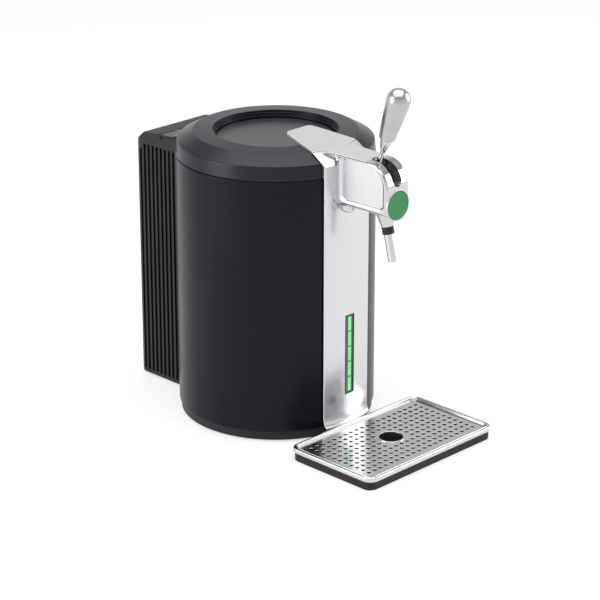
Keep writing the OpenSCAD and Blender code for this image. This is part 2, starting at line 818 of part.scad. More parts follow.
// Rocker that tilts about a cross pin of its own
module power_rocker() {
    w = switch_w - 2 * wall - 2 * gap;
    tall = switch_tall - 2 * wall - 2 * rocker_play;
    color(black_matt) at_axis() translate([switch_x, box_reach, inlet_h]) rotate([90, 0, 0]) {
        translate([-w / 2, 0, 0]) rotate([90, 0, 90]) linear_extrude(w) polygon([
            [-tall / 2, rocker_rise], [0, rocker_rise + rocker_rise], [tall / 2, rocker_rise],
            [tall / 2, rocker_axis], [0, rocker_axis + rocker_pin_r + rocker_rise], [-tall / 2, rocker_axis]
        ]);
        translate([0, 0, rocker_axis]) rotate([0, 90, 0])
            cylinder(r = rocker_pin_r, h = switch_w - wall, center = true);
    }
}

// Two brackets that rise from the chassis to the hinge axis
module hinge_bracket() {
    color(steel_c) at_axis() difference() {
        for (x = [-1, 1]) translate([x * knuckle_x, 0, 0]) {
            side_view(knuckle_w) translate([hinge_reach, hinge_h]) circle(barrel_r);
            side_view(knuckle_w) translate([hinge_reach - barrel_r, bracket_bottom])
                square([2 * barrel_r, hinge_h - bracket_bottom]);
            side_view(knuckle_w) translate([body_r + gap + chassis_t, bracket_bottom])
                square([hinge_reach - body_r - gap - chassis_t, bracket_t]);
            side_view(2 * knuckle_w) translate([body_r + gap + chassis_t, bracket_bottom])
                square([bracket_t / 2, chassis_top - bracket_bottom]);
        }
        side_view(box_w) translate([hinge_reach, hinge_h]) circle(hinge_pin_r);
    }
}

module hinge_pin() {
    color(steel_c) at_axis() side_view(box_w - 2 * wall) translate([hinge_reach, hinge_h])
        circle(hinge_pin_r);
}

// Outline of everything under the lid handle and the column's crown, which the lid leaves free
module crown_plan(w, back) {
    difference() {
        translate([-w, -2 * body_r]) square([2 * w, 2 * body_r]);
        circle(back);
    }
}

module handle_plan(grow) {
    w = handle_front_w + grow;
    nose_w = handle_nose_w + grow;
    r = handle_corner_r + grow;
    nose_y = -handle_nose + grow;
    intersection() {
        polygon(concat(
            [[-w, -body_r], [w, -body_r], [w, -sqrt(crown_r * crown_r - handle_front_w * handle_front_w)]],
            arc(nose_w - r, nose_y - r, r, 0, 90, 8),
            arc(-nose_w + r, nose_y - r, r, 90, 180, 8),
            [[-w, -sqrt(crown_r * crown_r - handle_front_w * handle_front_w)]]
        ));
        circle(handle_back_r + grow);
    }
}

// The lid's skin: band, bevel, flat ring, stepped recess and the flap that runs back to the hinge
module lid_shell() {
    step_h = recess_depth / 3;
    color(charcoal) at_axis() difference() {
        union() {
            rotate_extrude() polygon([
                [body_r - gap, lid_bottom], [band_top_r, band_top],
                [ring_r, ring_h], [recess_r, recess_top],
                [recess_r, recess_top - step_h], [recess_r - step_w, recess_top - step_h],
                [recess_r - step_w, recess_top - 2 * step_h],
                [recess_r - 2 * step_w, recess_top - 2 * step_h],
                [recess_r - 2 * step_w, recess_floor - disc_t],
                [recess_r - 5 * step_w, recess_floor - disc_t],
                [recess_r - 5 * step_w, recess_floor - 2 * disc_t],
                [recess_r + lid_t, recess_floor - 2 * disc_t],
                [recess_r + lid_t, ring_h - ring_t], [ring_r - lid_t / 3, ring_h - ring_t],
                [band_top_r - lid_t, band_top - lid_t / 2], [body_r - lid_t - gap, lid_bottom]
            ]);
            lid_flap();
            for (a = lid_screw_angles) rotate(a) translate([lid_post_r, 0, liner_plate_top])
                cylinder(r = 2 * screw_head_r, h = ring_h - ring_t / 2 - liner_plate_top);
        }
        for (a = lid_screw_angles) rotate(a) translate([lid_post_r, 0, liner_plate_top - cut])
            cylinder(r = screw_r, h = lid_post_depth + cut);
        linear_extrude(2 * body_top) crown_plan(column_w + gap, handle_back_r);
        translate([0, 0, pocket_floor]) linear_extrude(body_top) handle_plan(gap);
    }
}

// Rear flap with the sweep that leads into it and the hinge barrel at its end
module lid_flap() {
    difference() {
        intersection() {
            union() {
                side_view(box_w) polygon([
                    [0, box_top(0) - flap_t], [hinge_reach, box_top(hinge_reach) - flap_t],
                    [hinge_reach, box_top(hinge_reach)], [0, box_top(0)]
                ]);
                rotate_extrude() polygon(concat(
                    [[band_top_r - lid_t, box_top(body_r) - gap], [band_top_r - gap, band_top - gap]],
                    arc(band_top_r + flare_r - gap, flare_h + flare_r, flare_r, 180, 270, 10),
                    [[band_top_r + flare_r, box_top(body_r) - gap]]
                ));
                side_view(box_w) translate([hinge_reach, hinge_h]) circle(barrel_r);
            }
            translate([-box_w / 2, 0, 0]) cube([box_w, 2 * body_r, 2 * body_top]);
        }
        translate([0, 0, -cut]) cylinder(r = body_r - lid_t, h = 2 * body_top);
        side_view(2 * box_w) translate([hinge_reach, hinge_h]) circle(hinge_pin_r + fit);
        for (x = [-1, 1]) translate([x * knuckle_x, 0, 0]) side_view(knuckle_w + 2 * gap)
            translate([hinge_reach, hinge_h]) circle(barrel_r + gap);
    }
}

// Round grey disc in the recess
module lid_disc() {
    color(charcoal) at_axis() translate([0, 0, recess_floor - disc_t]) cylinder(r = disc_r, h = disc_t);
}

// Inner side of the lid, with the groove that the beer tube runs in
module lid_liner() {
    bottom = liner_plate_top - wall;
    top = recess_floor - 2 * disc_t - gap;
    color(black_matt) at_axis() difference() {
        translate([0, 0, bottom]) cylinder(r = lid_liner_r, h = top - bottom);
        translate([0, 0, liner_plate_top]) difference() {
            cylinder(r = lid_liner_r - wall, h = body_r);
            translate([-channel_w - wall, -2 * body_r, 0])
                cube([2 * (channel_w + wall), 2 * body_r, body_r]);
        }
        translate([-channel_w, -2 * body_r, bottom - cut])
            cube([2 * channel_w, 2 * body_r, top - bottom + cut - wall]);
        for (a = lid_screw_angles) rotate(a) translate([lid_post_r, 0, bottom - cut])
            cylinder(r = screw_r + fit, h = 3 * wall);
    }
}

module lid_gasket() {
    color(rubber_c) at_axis() translate([0, 0, collar_top + fit]) difference() {
        tube(gasket_r + gasket_w, gasket_r, liner_plate_top - wall - collar_top - fit);
        translate([-channel_w, -2 * body_r, -cut]) cube([2 * channel_w, 2 * body_r, 2 * wall]);
    }
}

// Bright tongue that lifts the lid; it climbs over the recess and leaves room for the fingers
module lid_handle() {
    top_front = ring_h;
    front_y = -crown_r;
    rise = (handle_nose_top - top_front) / (crown_r - handle_nose);
    neck_y = -recess_r;
    neck_top = top_front + rise * (crown_r - recess_r);
    color(satin_c) at_axis() intersection() {
        linear_extrude(2 * body_top) handle_plan(0);
        side_view(2 * handle_front_w) polygon([
            [front_y, pocket_floor + gap],
            [neck_y - lid_t, pocket_floor + gap], [neck_y, neck_top - handle_t],
            [-handle_nose, handle_nose_top - handle_t],
            [-handle_nose, handle_nose_top], [front_y, top_front]
        ]);
    }
}

module lid_screws() {
    bottom = liner_plate_top - wall;
    color(steel_c) at_axis() for (a = lid_screw_angles) rotate(a) translate([lid_post_r, 0, bottom]) {
        cylinder(r = screw_r, h = lid_post_depth);
        translate([0, 0, -screw_head_t]) cylinder(r = screw_head_r, h = screw_head_t);
    }
}

// Bright curved sheet on the front of the body, swept out at its foot
module column_panel() {
    sweep_r = sweep_top - column_bottom;
    color(chrome_c) at_axis() difference() {
        intersection() {
            rotate_extrude() polygon([
                [column_in, column_bottom], [column_r + sweep_out, column_bottom],
                [column_r + sweep_out, column_bottom + column_t],
                [column_r + sweep_out / 3, column_bottom + sweep_r / 2],
                [column_r, sweep_top], [column_r, bend_h], [column_r - column_t, bend_h],
                [column_r - column_t, sweep_top], [column_in, sweep_top]
            ]);
            translate([-column_w, -2 * body_r, 0]) cube([2 * column_w, 2 * body_r, body_top + body_r]);
        }
        window_hole(fit);
        side_view(head_w + 2 * fit) translate([-head_front, head_bottom - fit])
            square([head_front, body_r]);
    }
}

// Opening of the lit window, widened all round
module window_hole(grow) {
    translate([-window_w - grow, -2 * body_r, window_bottom - grow])
        cube([2 * (window_w + grow), 2 * body_r, window_top - window_bottom + 2 * grow]);
}

// Cap of the column that bends back over the lid's edge
module column_crown() {
    color(chrome_c) at_axis() difference() {
        hull() {
            translate([0, 0, ring_h - plate_t - seam]) linear_extrude(seam) intersection() {
                crown_outline();
                translate([-column_w, -column_in]) square([2 * column_w, column_in]);
            }
            translate([0, 0, lid_bottom]) linear_extrude(bend_h - lid_bottom) intersection() {
                circle(column_r - column_t - fit);
                translate([-column_w, -column_r]) square([2 * column_w, column_r - crown_back]);
            }
        }
        translate([0, 0, lid_bottom - cut]) cylinder(r = crown_r, h = body_r);
        side_view(head_w + 2 * fit) translate([-head_front, head_bottom])
            square([head_front - head_back_y + fit, body_r]);
        tube_channel();
    }
}

// Outline of the satin plate and what is under it: as wide as the column at the lid,
// as narrow as the head further out
module crown_outline() {
    side_y = sqrt(crown_r * crown_r - handle_front_w * handle_front_w);
    end_y = head_front - head_corner_r;
    polygon([
        [-head_w / 2, -end_y], [head_w / 2, -end_y], [head_w / 2, -plate_neck], [handle_front_w, -side_y],
        [handle_front_w, -crown_back], [-handle_front_w, -crown_back], [-handle_front_w, -side_y],
        [-head_w / 2, -plate_neck]
    ]);
}

module crown_top() {
    difference() {
        crown_outline();
        circle(crown_r);
    }
}

// Straight passage for the beer tube from the chamber into the tap head
module tube_channel() {
    translate([-channel_w, -head_back_y - head_wall - cut, channel_bottom])
        cube([2 * channel_w, body_r, channel_top - channel_bottom]);
}

module window_frame() {
    color(rubber_c) at_axis() difference() {
        translate([-window_w, -window_front, window_bottom])
            cube([2 * window_w, frame_depth, window_top - window_bottom]);
        translate([-window_w + window_rim, -window_front - cut, window_bottom + window_rim])
            cube([2 * (window_w - window_rim), frame_depth + 2 *
                cut, window_top - window_bottom - 2 * window_rim]);
    }
}

module window_lens() {
    color("#5d6a60") at_axis() translate([-window_w + window_rim, -window_front +
        lens_sink, window_bottom + window_rim])
        cube([2 * (window_w - window_rim), lens_t, window_top - window_bottom - 2 * window_rim]);
}

// The lit segments, in a row on the lens
module window_segments() {
    inner = window_top - window_bottom - 4 * window_rim;
    pitch = (inner + segment_gap) / segment_count;
    color(light_green) at_axis() for (i = [0:segment_count - 1])
        translate([-segment_w / 2, -window_front + lens_sink - segment_t, window_bottom + 2 *
            window_rim + i * pitch])
        cube([segment_w, segment_t, pitch - segment_gap]);
}

// Narrow circuit board with one lamp behind each segment
module window_board() {
    inner = window_top - window_bottom - 4 * window_rim;
    pitch = (inner + segment_gap) / segment_count;
    lamp = window_rim;
    back = window_front - frame_depth;
    color(board_c) at_axis() {
        translate([-window_w, -back, window_bottom])
            cube([2 * window_w, board_t, window_top - window_bottom]);
        for (i = [0:segment_count - 1])
            translate([-lamp, -back - lamp, window_bottom + 2 * window_rim + (i + 1 / 2) * pitch - lamp])
            cube([2 * lamp, lamp + cut, 2 * lamp]);
    }
}

// Side view of the tap head, drawn in by its own margin on each side
module head_side(front_in, back_in, bottom_in, top_in) {
    front = head_front - front_in;
    back = head_back_y + back_in;
    top = head_top - top_in;
    r = head_corner_r - max(front_in, top_in);
    difference() {
        translate([-front, head_bottom + bottom_in]) square([front - back, top - head_bottom - bottom_in]);
        difference() {
            translate([-front - cut, top - r]) square([r + cut, r + cut]);
            translate([-front + r, top - r]) circle(r);
        }
    }
}

// Wedge that the lever sweeps in the head's skin
module lever_slot() {
    reach = 2 * head_corner_r;
    side_view(lever_slot_w) translate([-pivot_reach, pivot_h]) polygon(concat(
        [[0, 0]], arc(0, 0, reach, 90 + slot_start, 90 + slot_end, 4)
    ));
}

// The bright cast head: hollow, with a slot for the lever and a recess in each side
module tap_head() {
    color(chrome_c) at_axis() difference() {
        side_view(head_w) head_side(0, 0, 0, 0);
        side_view(head_in_w) head_side(head_wall, head_wall, head_wall, head_wall + plate_t);
        for (x = [-1, 1]) translate([x * (head_w - recess_t + cut) / 2, 0, 0])
            side_view(recess_t + cut) head_side(bar_front, bar_back, bar_bottom, bar_top + plate_t);
        lever_slot();
        side_view(head_w + cut) translate([-pivot_reach, pivot_h]) circle(lever_pin_r);
        translate([0, 0, head_top - plate_t]) linear_extrude(plate_t + cut) crown_top();
        spout_place() cylinder(r = nozzle_bore_r, h = 6 * head_wall, center = true);
        tube_channel();
    }
}

// Polished panels in the recesses of the head's sides
module head_side_panels() {
    t = recess_t / 2;
    color(chrome_c) at_axis() for (x = [-1, 1]) translate([x * (head_w / 2 - recess_t + t / 2), 0, 0])
        side_view(t) head_side(bar_front + gap, bar_back + gap, bar_bottom + gap, bar_top + plate_t + gap);
}

module head_top_plate() {
    color(satin_c) at_axis() difference() {
        translate([0, 0, head_top - plate_t]) linear_extrude(plate_t) crown_top();
        lever_slot();
    }
}

// Two round bosses in the corner between the head and the column
module head_boss() {
    flat = boss_h / 3;
    side = head_w / 2 - boss_r;
    color(chrome_c) at_axis() for (x = [-1, 1])
        translate([x * side, -column_r - gap - boss_r, head_bottom]) rotate_extrude()
            polygon(concat(
                [[0, 0], [boss_r, 0]],
                [for (i = [0:8]) [boss_r * cos(i * 90 / 8), -flat - (boss_h - flat) * sin(i * 90 / 8)]]
            ));
}

module badge_ring() {
    color(satin_c) at_axis() translate([0, -head_front, badge_h]) rotate([90, 0, 0])
        tube(badge_r, badge_r - badge_rim, badge_t);
}

module badge_disc() {
    color(green_c) at_axis() translate([0, -head_front, badge_h]) rotate([90, 0, 0])
        cylinder(r = badge_r - badge_rim, h = badge_t - gap);
}

// Puts a piece on the spout's leaning axis, with zero at the head's lower face
module spout_place() {
    translate([0, -spout_reach, head_bottom]) rotate([-spout_lean, 0, 0]) children();
}

module spout_cone() {
    color(chrome_c) at_axis() difference() {
        spout_place() {
            translate([0, 0, -cone_len]) cylinder(r1 = cone_end_r, r2 = cone_r, h = cone_len);
            cylinder(r = cone_r, h = cone_r);
        }
        translate([-body_r, -2 * body_r, head_bottom]) cube([2 * body_r, 2 * body_r, body_r]);
        spout_place() cylinder(r = nozzle_bore_r, h = 4 * cone_len, center = true);
    }
}

module nozzle_collar() {
    color(rubber_c) at_axis() spout_place() translate([0, 0, -cone_len - nozzle_collar_len])
        tube(collar_r, nozzle_bore_r, nozzle_collar_len);
}

module nozzle_tube() {
    color(chrome_c) at_axis() spout_place() translate([0, 0, -cone_len - nozzle_collar_len - nozzle_len])
        tube(nozzle_r, nozzle_bore_r, nozzle_len);
}

module lever_pin() {
    color(steel_c) at_axis() side_view(head_w - 2 * recess_t - 2 * gap) translate([-pivot_reach, pivot_h])
        circle(lever_pin_r);
}

// Puts a piece on the lever's leaning axis, with zero at the pivot
module lever_place() {
    translate([0, -pivot_reach, pivot_h]) rotate([lever_lean, 0, 0]) children();
}

module lever_hub() {
    color(steel_c) at_axis() lever_place() difference() {
        union() {
            rotate([0, 90, 0]) cylinder(r = hub_r, h = hub_w, center = true);
            cylinder(r = stub_r, h = stub_len);
        }
        rotate([0, 90, 0]) cylinder(r = lever_pin_r + fit, h = 2 * hub_w, center = true);
    }
}

module lever_rod() {
    color(chrome_c) at_axis() lever_place() translate([0, 0, stub_len])
        cylinder(r = rod_r, h = ferrule_start - stub_len);
}

module lever_ferrule() {
    color(chrome_c) at_axis() lever_place() translate([0, 0, ferrule_start])
        cylinder(r1 = rod_r, r2 = ferrule_r, h = grip_start - ferrule_start);
}

// Grip that widens upwards and ends in a dome
module lever_grip() {
    edge = 1.5;
    color(satin_c) at_axis() lever_place() rotate_extrude() polygon(concat(
        [[0, grip_start], [grip_r - edge, grip_start], [grip_r, grip_start + edge]],
        [[(grip_r + grip_top_r) / 2 + gap, (grip_start + grip_wide) / 2]],
        [for (i = [0:12]) [grip_top_r * cos(i * 90 / 12), grip_wide + grip_top_r * sin(i * 90 / 12)]]
    ));
}

// Dark curved plate that moves with the lever and closes its slot
module slot_shield() {
    far = 2 * shield_r;
    color(rubber_c) at_axis() lever_place() difference() {
        side_view(lever_slot_w - 2 * gap) intersection() {
            difference() {
                circle(shield_r);
                circle(shield_r - shield_t);
            }
            polygon(concat([[0, 0]], arc(0, 0, far, 90 - shield_behind, 90 + shield_ahead, 4)));
        }
        cylinder(r = rod_r, h = far);
    }
}

// Outline of the drip tray, drawn in from its outer edge
module tray_plan(inset) {
    translate([0, -tray_mid]) round_rect(2 * (tray_w - inset), tray_front - tray_back - 2 *
        inset, tray_corner_r - inset);
}

// Black basin that stands on the table and catches the drips
module tray_basin() {
    color(black_matt) at_axis() difference() {
        linear_extrude(basin_h) tray_plan(basin_inset);
        translate([0, 0, wall]) linear_extrude(basin_h) tray_plan(basin_inset + wall);
    }
}

// Bright cover with a rolled rim, rows of drain holes and one large opening
module tray_grid() {
    across = floor((tray_w - hole_margin - hole_r) / hole_pitch_x - 1 / 2);
    along = floor(((tray_front - tray_back) / 2 - hole_margin - hole_r) / hole_pitch_y);
    color(chrome_c) at_axis() {
        translate([0, 0, grid_bottom]) linear_extrude(rim_h) difference() {
            tray_plan(0);
            tray_plan(rim_w);
        }
        translate([0, 0, grid_plate]) linear_extrude(grid_t) difference() {
            tray_plan(rim_w / 2);
            translate([0, -drain_y]) circle(drain_r);
            for (i = [-across - 1:across], j = [-along:along]) {
                x = (i + 1 / 2) * hole_pitch_x;
                y = -tray_mid + j * hole_pitch_y;
                if (norm([x, y + drain_y]) > drain_ring_r) translate([x, y]) circle(r = hole_r, $fn = 24);
            }
        }
        translate([0, -drain_y, grid_plate - drain_lip])
            tube(drain_r + grid_t, drain_r, drain_lip + grid_t / 2);
    }
}

base_pan();
base_feet();
body_shell();
insulation_sleeve();
insulation_base();
chamber_liner();
keg_cradle();
chamber_collar();
temperature_probe();
cold_block();
thermoelectric_module();
heat_sink();
rear_chassis();
fan_frame();
fan_rotor();
fan_screws();
control_board();
power_supply();
rear_cover();
dust_screen();
cover_screws();
power_inlet();
switch_housing();
power_rocker();
hinge_bracket();
hinge_pin();
lid_shell();
lid_disc();
lid_liner();
lid_gasket();
lid_handle();
lid_screws();
column_panel();
column_crown();
window_frame();
window_lens();
window_segments();
window_board();
tap_head();
head_side_panels();
head_top_plate();
head_boss();
badge_ring();
badge_disc();
spout_cone();
nozzle_collar();
nozzle_tube();
lever_pin();
lever_hub();
lever_rod();
lever_ferrule();
lever_grip();
slot_shield();
tray_basin();
tray_grid();
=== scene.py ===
# Countertop keg cooler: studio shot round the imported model
import json
import math
import bmesh
import bpy
import numpy as np
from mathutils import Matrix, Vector
from mathutils.geometry import delaunay_2d_cdt


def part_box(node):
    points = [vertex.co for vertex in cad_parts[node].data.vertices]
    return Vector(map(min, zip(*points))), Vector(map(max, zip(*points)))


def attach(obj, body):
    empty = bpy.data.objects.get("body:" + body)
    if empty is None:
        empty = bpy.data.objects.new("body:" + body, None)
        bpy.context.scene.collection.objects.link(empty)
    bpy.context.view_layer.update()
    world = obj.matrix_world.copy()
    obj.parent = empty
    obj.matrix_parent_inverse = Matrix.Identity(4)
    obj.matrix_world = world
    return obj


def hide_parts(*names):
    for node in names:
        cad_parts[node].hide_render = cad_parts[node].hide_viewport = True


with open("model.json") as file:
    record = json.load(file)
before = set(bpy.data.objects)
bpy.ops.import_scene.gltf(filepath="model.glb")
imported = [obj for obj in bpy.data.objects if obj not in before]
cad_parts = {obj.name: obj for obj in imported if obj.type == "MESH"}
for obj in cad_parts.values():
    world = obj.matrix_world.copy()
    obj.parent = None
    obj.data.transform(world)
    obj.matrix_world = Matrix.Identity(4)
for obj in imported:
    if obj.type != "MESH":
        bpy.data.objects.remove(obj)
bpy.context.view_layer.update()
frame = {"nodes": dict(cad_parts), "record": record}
nodes = frame["nodes"]
slotOf = {part["node"]: part["material_slot"] for part in frame["record"]["subparts"]}
bodyOf = {node: body for body, group in frame["record"]["behaviour"]["bodies"].items() for node in group}
scene = bpy.context.scene

# lengths are millimetres from the round body's axis, which stands this far behind the frame's origin
axisBack = 1000 * (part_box("body_shell")[0].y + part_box("body_shell")[1].y) / 2
milli = 0.001

# ---- camera ----
camera = {"place": (-1931.8, -1953.1, 1198.7), "heading": 45.296, "tilt": 21.123, "lens": 142.94, "sensor": 36}


def toFrame(points):  # from millimetres about the body's axis to the frame's metres
    return (np.asarray(points, float) + [0, axisBack, 0]) * milli


def setCamera():
    data = bpy.data.cameras.new("studioCamera")
    data.lens, data.sensor_width = camera["lens"], camera["sensor"]
    obj = bpy.data.objects.new("studioCamera", data)
    scene.collection.objects.link(obj)
    obj.location = toFrame(camera["place"])
    obj.rotation_euler = (math.radians(90 - camera["tilt"]), 0, math.radians(-camera["heading"]))
    scene.camera = obj


setCamera()
print("camera set")


# ---- shape helpers ----
def arc(cx, cy, radius, start, end, steps):  # points on a circle between two angles in degrees
    a = np.radians(np.linspace(start, end, steps + 1))
    return np.stack([cx + radius * np.cos(a), cy + radius * np.sin(a)], -1)


def filleted(corners, radii, steps=6):  # each corner gives way to an arc that touches both of its sides
    corners = np.asarray(corners, float)
    radii = np.broadcast_to(radii, len(corners))
    spans = []
    for i, (p, r) in enumerate(zip(corners, radii)):
        toA, toB = corners[i - 1] - p, corners[(i + 1) % len(corners)] - p
        lenA, lenB = np.linalg.norm(toA), np.linalg.norm(toB)
        u, v = toA / lenA, toB / lenB
        half = math.acos(np.clip(u @ v, -1, 1)) / 2
        if r <= 0 or half > 1.55:
            spans.append(np.repeat(p[None], steps + 1, 0) if r < 0 else p[None])
            continue
        reach = min(r / math.tan(half), 0.48 * lenA, 0.48 * lenB)
        r = reach * math.tan(half)
        centre = p + (u + v) / np.linalg.norm(u + v) * r / math.sin(half)
        turn = math.pi - 2 * half
        k = np.linspace(0, 1, steps + 1)[:, None]
        start, end = p + u * reach - centre, p + v * reach - centre
        spans.append(centre + (np.sin((1 - k) * turn) * start + np.sin(k * turn) * end) / math.sin(turn))
    return np.concatenate(spans)


def densified(loop, step):  # a closed outline whose long sides are split into pieces no longer than step
    ends = np.roll(loop, -1, 0)
    count = np.maximum(1, np.ceil(np.linalg.norm(ends - loop, axis=1) / step)).astype(int)
    index = np.repeat(np.arange(len(loop)), count)
    part = np.concatenate([np.arange(c) / c for c in count])[:, None]
    return loop[index] * (1 - part) + ends[index] * part


def inset(loop, depth):  # a closed outline moved inwards along its mitred normals
    if np.sum(loop[:, 0] * np.roll(loop[:, 1], -1) - np.roll(loop[:, 0], -1) * loop[:, 1]) < 0:
        depth = -depth
    step = np.roll(loop, -1, 0) - loop
    step /= np.linalg.norm(step, axis=1)[:, None]
    normal = np.stack([-step[:, 1], step[:, 0]], -1)
    before = np.roll(normal, 1, 0)
    return loop + depth * (normal + before) / (1 + np.sum(normal * before, 1))[:, None]


def gridFaces(rows, cols, closeRows=False, closeCols=False):  # quads between the points of a grid
    a, b = np.meshgrid(np.arange(rows - (not closeRows)), np.arange(cols - (not closeCols)), indexing="ij")
    nextA, nextB = (a + 1) % rows, (b + 1) % cols
    return np.stack([a * cols + b, a * cols + nextB, nextA * cols + nextB, nextA * cols + b], -1).reshape(-1, 4).tolist()


def solid(name, points, faces):  # a mesh object from points in millimetres, merged, with its faces outwards
    mesh = bpy.data.meshes.new(name)
    mesh.from_pydata(toFrame(points).tolist(), [], faces)
    bm = bmesh.new()
    bm.from_mesh(mesh)
    bmesh.ops.remove_doubles(bm, verts=bm.verts, dist=2e-6)
    bmesh.ops.recalc_face_normals(bm, faces=bm.faces)
    bm.to_mesh(mesh)
    bm.free()
    obj = bpy.data.objects.new(name, mesh)
    scene.collection.objects.link(obj)
    return obj


def loft(name, loops, ring=False):  # closed outlines joined one to the next, with flat ends, or back to the first
    loops = np.asarray(loops, float)
    rows, cols = loops.shape[:2]
    faces = gridFaces(rows, cols, ring, True)
    if not ring:
        faces += [list(range(cols)), list(range((rows - 1) * cols, rows * cols))]
    return solid(name, loops.reshape(-1, 3), faces)


def spun(profile, steps=144):  # a closed outline of radius and height, turned about the upright axis
    angle = np.linspace(0, 2 * np.pi, steps, endpoint=False)[:, None]
    r, z = np.asarray(profile, float).T
    return np.stack([r * np.sin(angle), -r * np.cos(angle), np.broadcast_to(z, (steps, len(r)))], -1)


def lathe(name, profile, steps=144, ring=True, move=None):  # solid of revolution; open profiles end on the axis
    points = spun(profile, steps)
    faces = gridFaces(steps, len(profile), True, ring)
    flat = points.reshape(-1, 3)
    return solid(name, flat if move is None else move(flat), faces)


def turned(loop2d, level, way):  # outline (u, v) at a level, lying in plan, in side view or in front view
    u, v = loop2d[:, 0], loop2d[:, 1]
    w = np.broadcast_to(level, u.shape)
    return np.stack({"plan": [u, v, w], "side": [w, u, v], "front": [u, w, v]}[way], -1)


def slab(name, outline, low, high, edge, way="plan", steps=3):  # plate with quarter-round edges on both faces
    a = np.linspace(0, np.pi / 2, steps + 1)
    depth = edge * (1 - np.sin(a))
    below, above = low + edge * (1 - np.cos(a)), high - edge * (1 - np.cos(a))
    levels = list(zip(depth, below)) + list(zip(depth[::-1], above[::-1]))
    return loft(name, [turned(inset(outline, d), w, way) for d, w in levels])


def carve(obj, cutter, operation="DIFFERENCE"):  # takes a cutter away from a solid, or joins the two
    mod = obj.modifiers.new("carve", "BOOLEAN")
    mod.object, mod.operation, mod.solver = cutter, operation, "EXACT"
    graph = bpy.context.evaluated_depsgraph_get()
    obj.data = bpy.data.meshes.new_from_object(obj.evaluated_get(graph))
    obj.modifiers.clear()
    bpy.data.objects.remove(cutter)
    return obj


def join(name, objs):  # several solids as one object
    bm = bmesh.new()
    for obj in objs:
        bm.from_mesh(obj.data)
        bpy.data.objects.remove(obj)
    mesh = bpy.data.meshes.new(name)
    bm.to_mesh(mesh)
    bm.free()
    obj = bpy.data.objects.new(name, mesh)
    scene.collection.objects.link(obj)
    return obj


def dress(obj, replaced, look=None, smooth=32, bevel=0, segments=2):  # smooth shading, the finish of the part's slot, and its body
    first = replaced[0]
    obj.data.polygons.foreach_set("use_smooth", np.ones(len(obj.data.polygons), bool))
    obj.data.set_sharp_from_angle(angle=math.radians(smooth))
    obj.data.materials.clear()
    obj.data.materials.append(look or looks[slotOf[first]])
    if bevel:
        mod = obj.modifiers.new("edge", "BEVEL")
        mod.width, mod.segments, mod.limit_method, mod.angle_limit = bevel * milli, segments, "ANGLE", math.radians(35)
        mod.harden_normals = True
    mod = obj.modifiers.new("flatFaces", "WEIGHTED_NORMAL")
    mod.keep_sharp = True
    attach(obj, bodyOf[first])
    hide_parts(*replaced)
    return obj


def softened(node, name, bevel, smooth=32):  # the node's own shape with merged faces and eased edges
    mesh = nodes[node].data.copy()
    bm = bmesh.new()
    bm.from_mesh(mesh)
    bmesh.ops.remove_doubles(bm, verts=bm.verts, dist=2e-6)
    bmesh.ops.dissolve_limit(bm, angle_limit=math.radians(0.5), verts=bm.verts, edges=bm.edges)
    bm.to_mesh(mesh)
    bm.free()
    obj = bpy.data.objects.new(name, mesh)
    scene.collection.objects.link(obj)
    return dress(obj, [node], bevel=bevel, smooth=smooth)


# ---- finishes ----
def linear(code):  # sRGB hex to linear
    value = np.array([int(code[i:i + 2], 16) for i in (1, 3, 5)]) / 255
    value = np.where(value <= 0.04045, value / 12.92, ((value + 0.055) / 1.055) ** 2.4)
    return (*value.tolist(), 1)


def addNode(tree, kind, inputs=None, **settings):  # a node with its settings and links
    node = tree.nodes.new(kind)
    for key, value in settings.items():
        setattr(node, key, value)
    for key, value in (inputs or {}).items():
        if isinstance(value, bpy.types.NodeSocket):
            tree.links.new(value, node.inputs[key])
        else:
            node.inputs[key].default_value = value
    return node


def finish(name, colour, shade, rough, grain, depth, **extra):
    # colour drifts to shade over centimetres; roughness wanders; grain is a bump of that size in millimetres
    mat = bpy.data.materials.new(name)
    mat.use_nodes = True
    tree = mat.node_tree
    shader = tree.nodes["Principled BSDF"]
    place = addNode(tree, "ShaderNodeTexCoord").outputs["Object"]
    stretch = extra.pop("stretch", None)
    if stretch:
        place = addNode(tree, "ShaderNodeMapping", {"Vector": place, "Scale": stretch}).outputs["Vector"]
    drift = addNode(tree, "ShaderNodeTexNoise", {"Vector": place, "Scale": 1 / (45 * milli), "Detail": 2.0})
    mix = addNode(tree, "ShaderNodeMix", {"Factor": drift.outputs["Fac"], 6: linear(colour), 7: linear(shade)},
                  data_type="RGBA")
    tree.links.new(mix.outputs[2], shader.inputs["Base Color"])
    fine = addNode(tree, "ShaderNodeTexNoise", {"Vector": place, "Scale": 1 / (grain * milli), "Detail": 3.0})
    low, high = rough
    spread = addNode(tree, "ShaderNodeMapRange", {"Value": fine.outputs["Fac"], "From Min": 0.3, "From Max": 0.7,
                                                 "To Min": low, "To Max": high})
    tree.links.new(spread.outputs["Result"], shader.inputs["Roughness"])
    if depth:
        bump = addNode(tree, "ShaderNodeBump", {"Height": fine.outputs["Fac"], "Strength": 0.6, "Distance": depth * milli})
        tree.links.new(bump.outputs["Normal"], shader.inputs["Normal"])
    for key, value in extra.items():
        shader.inputs[key].default_value = value
    return mat


